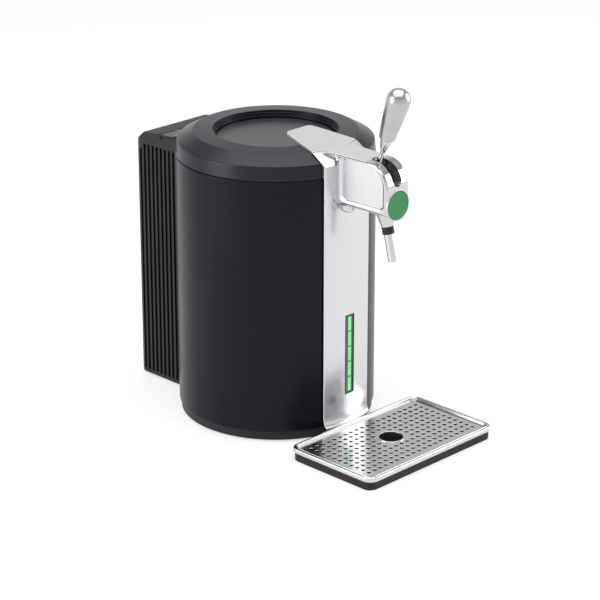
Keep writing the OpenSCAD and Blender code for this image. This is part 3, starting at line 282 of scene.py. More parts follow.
looks = {
    # sheet steel, sprayed and baked: near black with a blue cast, faint orange peel, wide soft highlight
    "shell_paint": finish("bakedPaintOnSteel", "#080810", "#0a0a13", (0.27, 0.32), 0.9, 0.002,
                          **{"Specular IOR Level": 0.18, "Specular Tint": (0.86, 0.88, 1, 1)}),
    # ABS moulded in a lightly spark-eroded tool: dull black
    "black_moulding": finish("sparkErodedAbs", "#0a0a0b", "#0d0d0e", (0.42, 0.5), 0.5, 0.006,
                             **{"Specular IOR Level": 0.35}),
    # ABS moulded in a finer tool: dull charcoal with a blue cast
    "lid_moulding": finish("fineGrainAbs", "#0e0e15", "#101018", (0.28, 0.34), 0.45, 0.003,
                           **{"Specular IOR Level": 0.3, "Specular Tint": (0.93, 0.94, 1, 1)}),
    # ABS disc with a satin lacquer
    "lid_disc_grey": finish("lacqueredAbs", "#222227", "#27272c", (0.26, 0.32), 0.5, 0.002,
                            **{"Specular IOR Level": 0.6}),
    # stainless sheet, bead blasted: pale, even and soft
    "satin_plate": finish("beadBlastedStainless", "#c8c8c6", "#c0c0be", (0.36, 0.44), 0.35, 0.004, Metallic=0.6),
    # stainless sheet, finely polished: bright, with soft-edged reflections
    "bright_sheet": finish("polishedStainless", "#d3d3d5", "#cfcfd1", (0.2, 0.26), 6, 0.0, Metallic=1.0),
    # zinc casting, buffed and chromed: bright, with a faint wave from the buffing
    "bright_casting": finish("chromedZincCasting", "#c8c9cb", "#c3c4c6", (0.05, 0.08), 9, 0.0, Metallic=1.0),
    # aluminium, turned and fine brushed
    "grip_metal": finish("turnedAluminium", "#b9b9ba", "#b0b0b1", (0.2, 0.28), 0.5, 0.003, Metallic=1.0,
                         stretch=(1, 1, 12)),
    # pressed steel, zinc plated
    "plain_steel": finish("zincPlatedSteel", "#a5a8aa", "#9a9d9f", (0.3, 0.42), 1.5, 0.004, Metallic=1.0),
    # aluminium as it leaves the mill
    "plain_aluminium": finish("millAluminium", "#bcc0c4", "#b0b4b8", (0.3, 0.4), 0.8, 0.004, Metallic=1.0,
                              stretch=(1, 1, 0.1)),
    # rubber, moulded: black and dull
    "rubber_black": finish("mouldedRubber", "#191919", "#1e1e1e", (0.65, 0.8), 0.8, 0.02, IOR=1.52),
    # glass filled nylon, moulded: black, with a slight sheen
    "dark_insert": finish("mouldedNylon", "#0d0e12", "#111216", (0.3, 0.4), 0.6, 0.006, IOR=1.53),
    # acrylic disc, printed green behind and polished in front
    "badge_green": finish("backPrintedAcrylic", "#1b7a3b", "#17703a", (0.12, 0.16), 4, 0.0, IOR=1.49),
    # smoked acrylic strip
    "lens_smoke": finish("smokedAcrylic", "#4f5c52", "#465249", (0.2, 0.26), 3, 0.0, IOR=1.49),
    # light pipes in front of green lamps
    "lit_green": finish("litAcrylic", "#56c268", "#7ddc86", (0.3, 0.36), 3, 0.0, IOR=1.49),
    # expanded foam: white beads about three millimetres across
    "foam_white": finish("expandedFoam", "#e9e7dd", "#dedccf", (0.8, 0.95), 3, 0.15, IOR=1.5),
    # glass-epoxy board under green solder mask
    "board_green": finish("solderMask", "#14512f", "#0f4527", (0.25, 0.35), 1.5, 0.01, IOR=1.5),
    # alumina plates
    "module_ceramic": finish("aluminaPlate", "#e6e6e2", "#dcdcd8", (0.5, 0.6), 0.8, 0.006, IOR=1.76),
}
glow = looks["lit_green"].node_tree.nodes["Principled BSDF"]
glow.inputs["Emission Color"].default_value = linear("#5cd873")
glow.inputs["Emission Strength"].default_value = 0.35
for node, obj in nodes.items():
    obj.data.materials.clear()
    obj.data.materials.append(looks[slotOf[node]])
print("finishes made")

# ---- body shell, base and feet ----
shell = {"radius": 121.5, "bottom": 12.9, "top": 329.7, "wall": 2.4, "edge": 1.1, "rearWindow": (45.5, 104, 256)}


def shellLoop(r, low, high, wall, edge):  # section of an upright tube with eased rims
    return filleted([(r, low), (r, high), (r - wall, high), (r - wall, low)], edge, 4)


def makeShell():
    profile = shellLoop(shell["radius"], shell["bottom"], shell["top"], shell["wall"], shell["edge"])
    obj = lathe("bodyShell", profile, 192)
    half, low, high = shell["rearWindow"]
    opening = np.array([(-half, low), (half, low), (half, high), (-half, high)])
    carve(obj, loft("rearWindow", [turned(opening, y, "front") for y in (60, 140)]))
    dress(obj, ["body_shell"])


makeShell()
softened("base_pan", "basePan", 0.6)
feet = {"radius": 9, "height": 2, "ring": 101, "edge": 0.6, "rear": (34.6, 182.5)}


def makeFeet():
    corner = feet["ring"] / math.sqrt(2)
    places = [(x * corner, y * corner) for x in (-1, 1) for y in (-1, 1)]
    places += [(x * feet["rear"][0], feet["rear"][1]) for x in (-1, 1)]
    section = filleted([(0, 0), (feet["radius"], 0), (feet["radius"], feet["height"]), (0, feet["height"])],
                       [0, feet["edge"], 0, 0], 3)
    pads = [lathe("foot", section, 40, False, lambda p, x=x, y=y: p + [x, y, 0]) for x, y in places]
    dress(join("rubberFeet", pads), ["base_feet"])


makeFeet()
print("body made")

# ---- slatted rear housing with its inlet and switch ----
softened("rear_cover", "slattedHousing", 0.45)
softened("power_inlet", "mainsInlet", 0.35)
softened("switch_housing", "switchFrame", 0.35)
softened("power_rocker", "rockerKey", 0.3)
softened("cover_screws", "housingScrews", 0.25)
print("rear housing made")

# ---- lid ----
lid = {"seam": 330.1, "bandTop": 348.0, "ringTop": 358.4, "rimTop": 359.7, "floor": 350.5, "bandRadius": 121.2,
       "shoulderRadius": 119.5, "ringRadius": 100, "recessRadius": 76.2, "step": 1.5, "stepDrop": 3.07, "skin": 2.6}
flap = {"half": 52.6, "hinge": 148, "hingeHeight": 326.46, "barrel": 3.6, "thick": 2.6, "sweepOut": 24, "sweepUp": 16,
        "boxTopFront": 333.5, "boxTopCrest": 327.2, "boxFront": 109.52, "crest": 180, "edge": 0.5}
crownGap = {"half": 38.3, "back": 104.9}


def boxTop(y):  # height of the rear housing's sloping top
    slope = (flap["boxTopCrest"] - flap["boxTopFront"]) / (flap["crest"] - flap["boxFront"])
    return flap["boxTopFront"] + (y - flap["boxFront"]) * slope


def lidSection():
    recess, step, drop = lid["recessRadius"], lid["step"], lid["stepDrop"]
    under = lid["floor"] - 2
    corners = [(lid["bandRadius"], lid["seam"]), (lid["shoulderRadius"], lid["bandTop"]),
               (lid["ringRadius"], lid["ringTop"]), (recess, lid["rimTop"]), (recess, lid["rimTop"] - drop),
               (recess - step, lid["rimTop"] - drop),
               (recess - step, lid["rimTop"] - 2 * drop), (recess - 2 * step, lid["rimTop"] - 2 * drop),
               (recess - 2 * step, under), (recess - 5 * step, under), (recess - 5 * step, under - 2),
               (recess + lid["skin"], under - 2), (recess + lid["skin"], 353.9), (99.1, 353.9), (116.9, 346.7),
               (118.6, lid["seam"])]
    return filleted(corners, [1.2, 2.6, 1.6, 0.9, 0, 0.45, 0, 0.45, 0, 0, 0, 0, 0, 0, 0, 0], 5)


def flapTop(x, y):  # the flap's plane, with a quarter-ellipse sweep up to the lid's shoulder
    reach = np.hypot(x, y) - (lid["shoulderRadius"] - 0.6)
    k = np.clip(1 - reach / flap["sweepOut"], 0, 1)
    plane = boxTop(y)
    rise = flap["sweepUp"] * (1 - np.sqrt(np.clip(1 - k ** 2, 0, 1)))
    inner = lid["shoulderRadius"] - 0.6 - np.hypot(x, y)
    cap = lid["bandTop"] - 0.6 + np.clip(inner, 0, 20) * 0.42
    return np.where(inner > 0, np.minimum(plane + rise + 6, cap), plane + rise)


def makeLid():
    obj = lathe("lidShell", lidSection(), 192)
    xs = np.linspace(-flap["half"], flap["half"], 71)
    ys = np.concatenate([np.linspace(104, 118.5, 12), lid["shoulderRadius"] - 0.6 + 30 * np.linspace(0, 1, 60) ** 1.6])
    ys = ys[ys <= flap["hinge"]]
    ys = np.append(ys, flap["hinge"])
    x, y = np.meshgrid(xs, ys)
    top = np.stack([x, y, flapTop(x, y)], -1)
    low = np.stack([x, y, boxTop(y) - flap["thick"]], -1)
    rows, cols = x.shape
    points = np.concatenate([top.reshape(-1, 3), low.reshape(-1, 3)])
    faces = gridFaces(rows, cols) + (np.array(gridFaces(rows, cols)) + rows * cols).tolist()
    rim = np.concatenate([np.arange(cols), np.arange(2, rows) * cols - 1,
                          np.arange(rows * cols - 1, (rows - 1) * cols - 1, -1), np.arange(rows - 2, 0, -1) * cols])
    after = np.roll(rim, -1)
    faces += np.stack([rim, after, after + rows * cols, rim + rows * cols], -1).tolist()
    carve(obj, solid("flapSweep", points, faces), "UNION")
    barrel = turned(arc(flap["hinge"], flap["hingeHeight"], flap["barrel"], 0, 360, 40)[:-1], 0, "side")
    ends = [barrel + [s * flap["half"], 0, 0] for s in (-1, 1)]
    carve(obj, loft("barrel", ends), "UNION")
    well = lathe("lidWell", [(0, 300), (118.6, 300), (118.6, lid["seam"] + 2), (0, lid["seam"] + 2)], 192, False)
    carve(obj, well)
    for side in (-1, 1):
        knuckle = turned(arc(flap["hinge"], flap["hingeHeight"], flap["barrel"] + 0.3, 0, 360, 40)[:-1], 0, "side")
        carve(obj, loft("knuckle", [knuckle + [side * 24 + w, 0, 0] for w in (-4.3, 4.3)]))
    pin = turned(arc(flap["hinge"], flap["hingeHeight"], 1.55, 0, 360, 24)[:-1], 0, "side")
    carve(obj, loft("pinBore", [pin + [w, 0, 0] for w in (-60, 60)]))
    half, back = crownGap["half"], crownGap["back"]
    side = math.degrees(math.asin(half / back))
    notch = np.concatenate([arc(0, 0, back, 270 - side, 270 + side, 40), [(half, -140), (-half, -140)]])
    carve(obj, loft("crownNotch", [turned(notch, z, "plan") for z in (320, 380)]))
    root = tonguePlan(-0.35)
    carve(obj, loft("tonguePocket", [turned(root, z, "plan") for z in (355.8, 380)]))
    dress(obj, ["lid_shell"], smooth=28)


tongue = {"frontHalf": 36.4, "noseHalf": 21, "nose": -37, "noseTop": 367.2, "front": 105.3, "frontTop": 358.4, "corner": 9,
          "thick": 3.2, "edge": 0.7, "rootEnd": -78.8, "rootLow": 356.1}


def tonguePlan(depth=0):
    half, front = tongue["frontHalf"], crownGap["back"] - 0.7
    side = math.degrees(math.asin(half / front))
    curve = arc(0, 0, front, 270 - side, 270 + side, 24)
    nose = [(tongue["noseHalf"], tongue["nose"]), (-tongue["noseHalf"], tongue["nose"])]
    radii = [1.8] + [0] * (len(curve) - 2) + [1.8, tongue["corner"], tongue["corner"]]
    return inset(filleted(np.concatenate([curve, nose]), radii, 8), depth)


def tongueTop(y):  # the wedge's sloping plane
    rise, run = tongue["noseTop"] - tongue["frontTop"], tongue["front"] + tongue["nose"]
    return tongue["frontTop"] + (y + tongue["front"]) * rise / run


def makeTongue():
    plan = tonguePlan()
    a = np.linspace(0, np.pi / 2, 5)
    edge, thick = tongue["edge"], tongue["thick"]
    drops = np.concatenate([-thick + edge * (1 - np.cos(a)), -edge * (1 - np.cos(a[::-1]))])
    depths = np.concatenate([edge * (1 - np.sin(a)), edge * (1 - np.sin(a[::-1]))])
    loops = []
    for d, z in zip(depths, drops):
        outline = inset(plan, d)
        loops.append(turned(outline, tongueTop(outline[:, 1]) + z, "plan"))
    obj = loft("liftTongue", loops)
    reach = crownGap["back"] - 1.4
    side = math.degrees(math.asin((tongue["frontHalf"] - 0.6) / reach))
    root = np.concatenate([arc(0, 0, reach, 270 - side, 270 + side, 24),
                           [(31, tongue["rootEnd"]), (-31, tongue["rootEnd"])]])
    rootLoops = [turned(root, tongue["rootLow"], "plan"), turned(root, tongueTop(root[:, 1]) - 1.2, "plan")]
    carve(obj, loft("tongueRoot", rootLoops), "UNION")
    dress(obj, ["lid_handle"])


makeLid()
makeTongue()
disc = {"radius": 71.2, "top": 350.5, "thick": 2, "edge": 0.5}
discSection = filleted([(0, disc["top"] - disc["thick"]), (disc["radius"], disc["top"] - disc["thick"]),
                        (disc["radius"], disc["top"]), (0, disc["top"])], [0, 0, disc["edge"], 0], 4)
dress(lathe("lidDisc", discSection, 144, False), ["lid_disc"])
softened("lid_liner", "lidLiner", 0.3)
softened("lid_gasket", "lidGasket", 0.5)
print("lid made")

# ---- front column, crown and lit window ----
column = {"half": 38, "outer": 125.5, "thick": 2.2, "bottom": 13.4, "top": 345, "sweepTop": 28, "sweepOut": 5, "edge": 1.0}


def bentStrip(half, outer, thick, edge):  # plan section of a curved strip: across the front and radius
    flat = filleted([(-half, outer - thick), (half, outer - thick), (half, outer), (-half, outer)], edge, 4)
    return densified(flat, 2.0)


def wrapped(flat, z, outward=0):  # lays the strip's section round the body's axis
    x, r = flat[:, 0], flat[:, 1] + outward
    return np.stack([x, -np.sqrt(r ** 2 - x ** 2), np.broadcast_to(z, x.shape)], -1)


def makeColumn():
    flat = bentStrip(column["half"], column["outer"], column["thick"], column["edge"])
    k = np.linspace(0, np.pi / 2, 15)
    span = column["sweepTop"] - column["bottom"] - 1.6
    foot = [(column["sweepTop"] - span * math.sin(a), column["sweepOut"] * (1 - math.cos(a))) for a in k]
    levels = [(column["bottom"], column["sweepOut"] - 0.5), (column["bottom"] + 0.5, column["sweepOut"])] + foot[::-1]
    levels += [(z, 0) for z in np.linspace(32, column["top"], 12)]
    obj = loft("columnSheet", [wrapped(flat, z, out) for z, out in levels])
    half, low, high = window["half"] + 0.1, window["bottom"] - 0.1, window["top"] + 0.1
    hole = np.array([(-half, low), (half, low), (half, high), (-half, high)])
    carve(obj, loft("windowHole", [turned(hole, y, "front") for y in (-140, -110)]))
    dress(obj, ["column_panel"])


crown = {"low": 330.2, "inner": 105.3, "top": 358.0, "lidHalf": 36.9, "neckHalf": 20.6, "neck": -116.9, "foot": 345.0,
         "footHalf": 23.6, "side": 37.9, "sheetInner": 123.1, "hollow": 1.3}


def crownLoop(down, outer):  # level outline, from the plate's edge (down 0) to the column's bend (down 1)
    top, foot = crown["top"], crown["foot"]
    z = top + (foot - top) * down
    reach = np.interp(z, [foot, 348.3, top], [outer, 120.9, crown["inner"]])
    edgeX = crown["lidHalf"] + (crown["side"] - crown["lidHalf"]) * down
    neckX = crown["neckHalf"] + (crown["footHalf"] - crown["neckHalf"]) * down
    neckY = crown["neck"] + (-math.sqrt(outer ** 2 - crown["footHalf"] ** 2) - crown["neck"]) * down ** 0.8
    edgeY = -math.sqrt(reach ** 2 - edgeX ** 2)
    u = np.linspace(0, 1, 25)
    dip = crown["hollow"] * np.sin(np.pi * down) * np.sin(np.pi * u / 2)
    x, y = edgeX + (neckX - edgeX) * u - dip, edgeY + (neckY - edgeY) * u + dip
    side = np.stack([x, y], -1)
    atLid = reach < crown["inner"] + 0.01
    half = math.degrees(math.asin((edgeX if atLid else crown["lidHalf"]) / crown["inner"]))
    back = arc(0, 0, crown["inner"], 270 - half, 270 + half, 30)
    if atLid:
        back = back[1:-1]
    else:
        back = np.linspace(0, 1, 29)[:, None] * (back[-1] - back[0]) + back[0]
        back[:, 1] = -np.sqrt(crown["inner"] ** 2 - back[:, 0] ** 2)
    return turned(np.concatenate([side * [-1, 1], side[::-1], back[::-1]]), z, "plan")


def makeCrown():
    loops = [crownLoop(d, column["outer"] - 0.1) for d in np.linspace(0, 1, 15)]
    under = crownLoop(1, crown["sheetInner"])
    loops += [under, under - [0, 0, crown["foot"] - crown["low"]]]
    dress(loft("columnCrown", loops), ["column_crown"], smooth=40, bevel=0.5)


window = {"half": 7.6, "bottom": 50.9, "top": 153.2, "rim": 1.5, "face": -125.75, "depth": 3.4}
segments = {"count": 5, "half": 2.5, "gap": 1.6, "proud": 0.5}


def windowOutline(depth, radius=0.4):  # upright rectangle with eased corners, drawn in by a depth
    half, low, high = window["half"] - depth, window["bottom"] + depth, window["top"] - depth
    return filleted([(-half, low), (half, low), (half, high), (-half, high)], radius, 3)


def makeWindow():
    low, high, rim = window["bottom"], window["top"], window["rim"]
    face, back = window["face"], window["face"] + window["depth"]
    layers = [(0, back), (0, face + 0.3), (0.3, face), (rim - 0.2, face), (rim, face + 0.2), (rim, back)]
    frameLoops = [turned(windowOutline(d), y, "front") for d, y in layers]
    dress(loft("windowFrame", frameLoops, True), ["window_frame"])
    dress(slab("windowLens", windowOutline(rim), face + 0.9, face + 2.8, 0.2, "front"), ["window_lens"])
    inner = high - low - 4 * rim
    pitch = (inner + segments["gap"]) / segments["count"]
    bars = []
    for i in range(segments["count"]):
        z = low + 2 * rim + i * pitch
        w = segments["half"]
        bar = filleted([(-w, z), (w, z), (w, z + pitch - segments["gap"]), (-w, z + pitch - segments["gap"])], 0.4, 3)
        bars.append(slab("bar", bar, face + 0.9 - segments["proud"], face + 1.4, 0.25, "front"))
    dress(join("litSegments", bars), ["window_segments"])


makeColumn()
makeCrown()
makeWindow()
print("column made")

# ---- tap head ----
head = {"half": 19, "back": -117.5, "front": -200, "bottom": 298, "top": 357.9, "frontRadius": 35,
        "barBack": -132.8, "barFront": -193.5, "barBottom": 306, "barTop": 356.0, "panel": 17.6, "flare": 4.2}
slot = {"pivotY": -160, "pivotZ": 325, "half": 7.5, "start": 2, "end": 81, "inner": 20, "outer": 60,
        "bend": 33}


def headLoop(blend):  # side outline between the skin (0) and the panel's recess (1), corner for corner
    outer = filleted([(head["back"], head["bottom"]), (head["back"], head["top"]), (head["front"], head["top"]),
                      (head["front"], head["bottom"])], [1, 1, head["frontRadius"], 4.5], 16)
    inner = filleted([(head["barBack"], head["barBottom"]), (head["barBack"], head["barTop"]),
                      (head["barFront"], head["barTop"]), (head["barFront"], head["barBottom"])], [7, 5, 29, 6], 16)
    return outer * (1 - blend) + inner * blend


def flared(obj):  # the head's sides spread evenly from its front back to the column
    points = np.array([v.co for v in obj.data.vertices]) / milli - [0, axisBack, 0]
    back = np.clip((points[:, 1] - head["front"]) / (head["back"] - head["front"]), 0, 1)
    points[:, 0] *= 1 + back * head["flare"] / head["half"]
    obj.data.vertices.foreach_set("co", toFrame(points).astype(np.float32).ravel())
    obj.data.update()
    return obj


def makeHead():
    a = np.linspace(0, np.pi, 13)
    half, deep = head["half"], head["half"] - head["panel"]
    blends = 0.5 - 0.5 * np.cos(a)
    levels = half - 3.6 + 3.6 * np.sin(np.clip(a, 0, np.pi / 2))
    levels = np.where(a > np.pi / 2, half - deep + deep * np.sin(a), levels)
    rows = [(1, half - deep - 0.6)] + list(zip(blends[::-1], levels[::-1]))
    rows = rows + [(b, -x) for b, x in rows[::-1]]
    obj = flared(loft("tapHead", [turned(headLoop(b), x, "side") for b, x in rows]))
    carve(obj, slotCutter())
    dress(obj, ["tap_head"], smooth=40)
    panels = []
    for side in (-1, 1):
        inner = inset(headLoop(1), 0.15)
        panels.append(slab("panel", inner, side * head["panel"] - 0.45, side * head["panel"] + 0.15, 0.12, "side"))
    dress(flared(join("sidePanels", panels)), ["head_side_panels"])


def slotCutter():  # slot with round ends, bent round the lever's pivot
    start, end = math.radians(slot["start"]), math.radians(slot["end"])
    half, bend = slot["half"], slot["bend"]
    turn = half / bend
    ends = [arc(0, 0, half, 180, 360, 14), arc(0, 0, half, 0, 180, 14)]
    outline = np.concatenate([np.stack([ends[0][:, 0], start + turn + ends[0][:, 1] / bend], -1),
                              np.stack([ends[1][:, 0], end - turn + ends[1][:, 1] / bend], -1)])
    outline = densified(outline, 2.0)
    loops = []
    for r in (slot["inner"], slot["outer"]):
        x, angle = outline.T
        loops.append(np.stack([x, slot["pivotY"] - r * np.sin(angle), slot["pivotZ"] + r * np.cos(angle)], -1))
    return loft("leverSlot", loops)


plate = {"top": 358.4, "low": 356.6, "end": -165.5, "endHalf": 17.2, "edge": 0.35, "inset": 0.7}


def makePlate():
    inset = plate["inset"]
    lidSide = math.degrees(math.asin((crown["lidHalf"] - inset) / crown["inner"]))
    back = arc(0, 0, crown["inner"] + 0.1, 270 + lidSide, 270 - lidSide, 30)
    neck, end = (crown["neckHalf"] - inset, crown["neck"]), (plate["endHalf"], plate["end"])
    outline = np.concatenate([[(-end[0], end[1]), end, neck], back, [(-neck[0], neck[1])]])
    obj = slab("satinPlate", densified(outline, 4), plate["low"], plate["top"], plate["edge"])
    carve(obj, slotCutter())
    dress(obj, ["head_top_plate"], smooth=40)


boss = {"side": 13.2, "y": -133.8, "radius": 10.4, "drop": 10, "flat": 3.3, "top": 299}


def makeBoss():
    dome = arc(0, 0, 1, 270, 360, 14)
    dome = dome * [boss["radius"], boss["drop"] - boss["flat"]] + [0, boss["top"] - 1 - boss["flat"]]
    section = np.concatenate([dome, [(boss["radius"], boss["top"]), (0, boss["top"])]])
    pair = [lathe("boss", section, 72, False, lambda p, x=x: p + [x * boss["side"], boss["y"], 0]) for x in (-1, 1)]
    dress(join("headBosses", pair), ["head_boss"])


badge = {"height": 309, "radius": 19, "rim": 1.2, "face": -200.9, "back": -198.9, "crown": 0.4}


def facing(points):  # a lathed piece turned to face the front at the badge's place
    return np.stack([points[:, 0], badge["back"] - points[:, 2], points[:, 1] + badge["height"]], -1)


def makeBadge():
    r, rim, thick = badge["radius"], badge["rim"], badge["back"] - badge["face"]
    ring = filleted([(r - rim, 0), (r, 0), (r, thick), (r - rim, thick)], [0, 0, 0.5, 0.3], 4)
    dress(lathe("badgeRing", ring, 96, True, facing), ["badge_ring"])
    a = np.linspace(0, 1, 14)
    dome = np.stack([(r - rim) * (1 - a), thick - 0.7 + badge["crown"] * (1 - (1 - a) ** 2)], -1)
    face = np.concatenate([[(0, 0.2), (r - rim, 0.2)], dome])
    dress(lathe("badgeFace", face, 96, False, facing), ["badge_disc"])


makeHead()
makePlate()
makeBoss()
makeBadge()
print("tap head made")

# ---- spout ----
spout = {"y": -180, "z": 298, "lean": 13, "coneTop": 11.5, "coneEnd": 6.8, "coneLength": 19,
         "collar": 7.3, "collarLength": 9, "tube": 5.8, "bore": 4.4, "tubeLength": 33}


def leaned(lean, y, z):  # turns a lathed piece about the X axis and moves it to its place
    c, s = math.cos(math.radians(lean)), math.sin(math.radians(lean))
    return lambda p: np.stack([p[:, 0], y + c * p[:, 1] - s * p[:, 2], z + s * p[:, 1] + c * p[:, 2]], -1)


def makeSpout():
    place = leaned(-spout["lean"], spout["y"], spout["z"])
    cone, collar, tube = spout["coneLength"], spout["collarLength"], spout["tubeLength"]
    bore = spout["bore"]
    coneSection = filleted([(bore, 2.5), (spout["coneTop"] + 0.4, 2.5), (spout["coneTop"], -1.5),
                            (spout["coneEnd"] + 0.5, -cone), (bore, -cone)], [0, 0, 2, 0.8, 0], 5)
    dress(lathe("spoutCone", coneSection, 72, True, place), ["spout_cone"])
    low = -cone - collar
    ribs = [(bore, -cone)]
    for i in range(3):  # three soft ribs
        z = -cone - collar * i / 3
        ribs += [(spout["collar"] - 0.7, z), (spout["collar"], z - 0.9), (spout["collar"], z - collar / 3 + 0.9)]
    ribs += [(spout["collar"] - 0.7, low), (bore, low)]
    dress(lathe("spoutCollar", filleted(ribs, [0] + [0.4] * 10 + [0], 3), 64, True, place), ["nozzle_collar"])
    end = low - tube
    tubeSection = filleted([(bore, low), (spout["tube"], low), (spout["tube"], end), (bore, end)], [0, 0, 0.6, 0.5], 4)
    dress(lathe("spoutTube", tubeSection, 64, True, place), ["nozzle_tube"])


makeSpout()
print("spout made")

# ---- lever ----
lever = {"lean": 19.5, "stub": 14, "rod": 3, "ferruleStart": 49.5, "ferrule": 7.5,
         "gripStart": 64.7, "gripWide": 116.5, "gripLow": 9.8, "gripTop": 14.3}
shield = {"radius": 28, "thick": 1.5, "half": 7.2, "behind": 34, "ahead": 63}


def makeLever():
    place = leaned(lever["lean"], slot["pivotY"], slot["pivotZ"])
    rod = filleted([(0, lever["stub"]), (lever["rod"], lever["stub"]), (lever["rod"], lever["ferruleStart"] - 3),
                    (lever["rod"] + 0.9, lever["ferruleStart"]), (0, lever["ferruleStart"])], [0, 0, 3, 0, 0], 4)
    dress(lathe("leverRod", rod, 48, False, place), ["lever_rod"])
    ferrule = filleted([(0, lever["ferruleStart"]), (lever["rod"] + 1, lever["ferruleStart"]),
                        (lever["rod"] + 1.9, lever["ferruleStart"] + 1.2), (lever["ferrule"], lever["gripStart"] - 0.8),
                        (lever["ferrule"] - 0.5, lever["gripStart"]), (0, lever["gripStart"])], [0, 0.3, 0.8, 0.4, 0, 0], 4)
    dress(lathe("leverFerrule", ferrule, 64, False, place), ["lever_ferrule"])
    t = np.linspace(0, 1, 24)
    low, high = lever["gripStart"] + 1.5, lever["gripWide"]
    bulge = lever["gripLow"] + (lever["gripTop"] - lever["gripLow"]) * (t * 1.18 - 0.18 * t ** 4)
    side = np.stack([bulge, low + (high - low) * t], -1)
    dome = arc(0, 0, 1, 0, 90, 20)[1:] * lever["gripTop"] + [0, high]
    foot = arc(lever["gripLow"] - 1.5, lever["gripStart"] + 1.5, 1.5, 270, 360, 5)[:-1]
    grip = np.concatenate([[(0, lever["gripStart"])], foot, side, dome])
    dress(lathe("leverGrip", grip, 96, False, place), ["lever_grip"], smooth=50)
    outer = arc(0, 0, shield["radius"], 90 - shield["behind"], 90 + shield["ahead"], 30)
    inner = arc(0, 0, shield["radius"] - shield["thick"], 90 + shield["ahead"], 90 - shield["behind"], 30)
    flat = np.concatenate([outer, inner])
    bent = slab("slotShield", flat, -shield["half"], shield["half"], 0.3, "side")
    points = np.array([v.co for v in bent.data.vertices]) / milli - [0, axisBack, 0]
    bent.data.vertices.foreach_set("co", toFrame(place(points)).astype(np.float32).ravel())
    dress(bent, ["slot_shield"], smooth=40)


makeLever()
print("lever made")

# ---- drip tray ----
tray = {"half": 110, "front": -264.5, "back": -131.2, "corner": 13, "basinTop": 11, "basinInset": 2, "wall": 2.5,
        "coverLow": 11.3, "railTop": 17.1, "plateLow": 13.1, "plateTop": 14.3, "plateInset": 5.6}
holes = {"radius": 2.45, "pitchX": 9.65, "pitchY": 9.3, "margin": 11, "sides": 16, "dish": 0.2, "clear": 20}
drain = {"y": -194.95, "radius": 14.5, "sides": 56, "lip": 2.0}


def trayPlan(depth):
    half, front, back = tray["half"], tray["front"], tray["back"]
    outline = filleted([(-half, front), (half, front), (half, back), (-half, back)], tray["corner"], 12)
    return inset(outline, depth)


def circles(centres, radius, sides):  # closed outlines round many centres
    a = np.linspace(0, 2 * np.pi, sides, endpoint=False)
    return np.asarray(centres)[:, None] + radius * np.stack([np.cos(a), np.sin(a)], -1)


def pierced(outline, rings, top, low):  # flat plate between two levels with open holes, whose walls come later
    loops = [outline] + rings
    counts = [len(loop) for loop in loops]
    starts = np.concatenate([[0], np.cumsum(counts)[:-1]])
    edges = [(s + i, s + (i + 1) % c) for s, c in zip(starts, counts) for i in range(c)]
    verts, _, faces, *_ = delaunay_2d_cdt([Vector(p) for p in np.concatenate(loops)], edges, [], 5, 1e-5)
    plan = np.array([tuple(v) for v in verts])
    centre = np.array([plan[list(face)].mean(0) for face in faces])
    kept = np.ones(len(faces), bool)
    for ring in rings:
        middle = ring.mean(0)
        kept &= np.linalg.norm(centre - middle, axis=1) > np.linalg.norm(ring[0] - middle) * 0.98
    faces = [list(face) for face, keep in zip(faces, kept) if keep]
    points = np.concatenate([np.column_stack([plan, np.full(len(plan), z)]) for z in (top, low)])
    return points, faces + [[i + len(plan) for i in face[::-1]] for face in faces]


def makeBasin():
    inner = tray["basinInset"] + tray["wall"]
    top, floor = tray["basinTop"], tray["wall"]
    layers = [(3.4, 0), (2.6, 0.3), (2.1, 1.2), (2.0, 2.4), (2.0, top - 0.4), (2.4, top), (inner - 0.4, top),
              (inner, top - 0.4), (inner + 0.3, floor + 1.2), (inner + 1.4, floor)]
    dress(loft("trayBasin", [turned(trayPlan(d), z, "plan") for d, z in layers]), ["tray_basin"])


def holeCentres():
    mid = (tray["front"] + tray["back"]) / 2
    across = int((tray["half"] - holes["margin"] - holes["radius"]) / holes["pitchX"] - 0.5)
    along = int(((tray["back"] - tray["front"]) / 2 - holes["margin"] - holes["radius"]) / holes["pitchY"])
    i, j = np.meshgrid(np.arange(-across - 1, across + 1) + 0.5, np.arange(-along, along + 1))
    spots = np.stack([i.ravel() * holes["pitchX"], mid + j.ravel() * holes["pitchY"]], -1)
    return spots[np.hypot(spots[:, 0], spots[:, 1] - drain["y"]) > holes["clear"]]


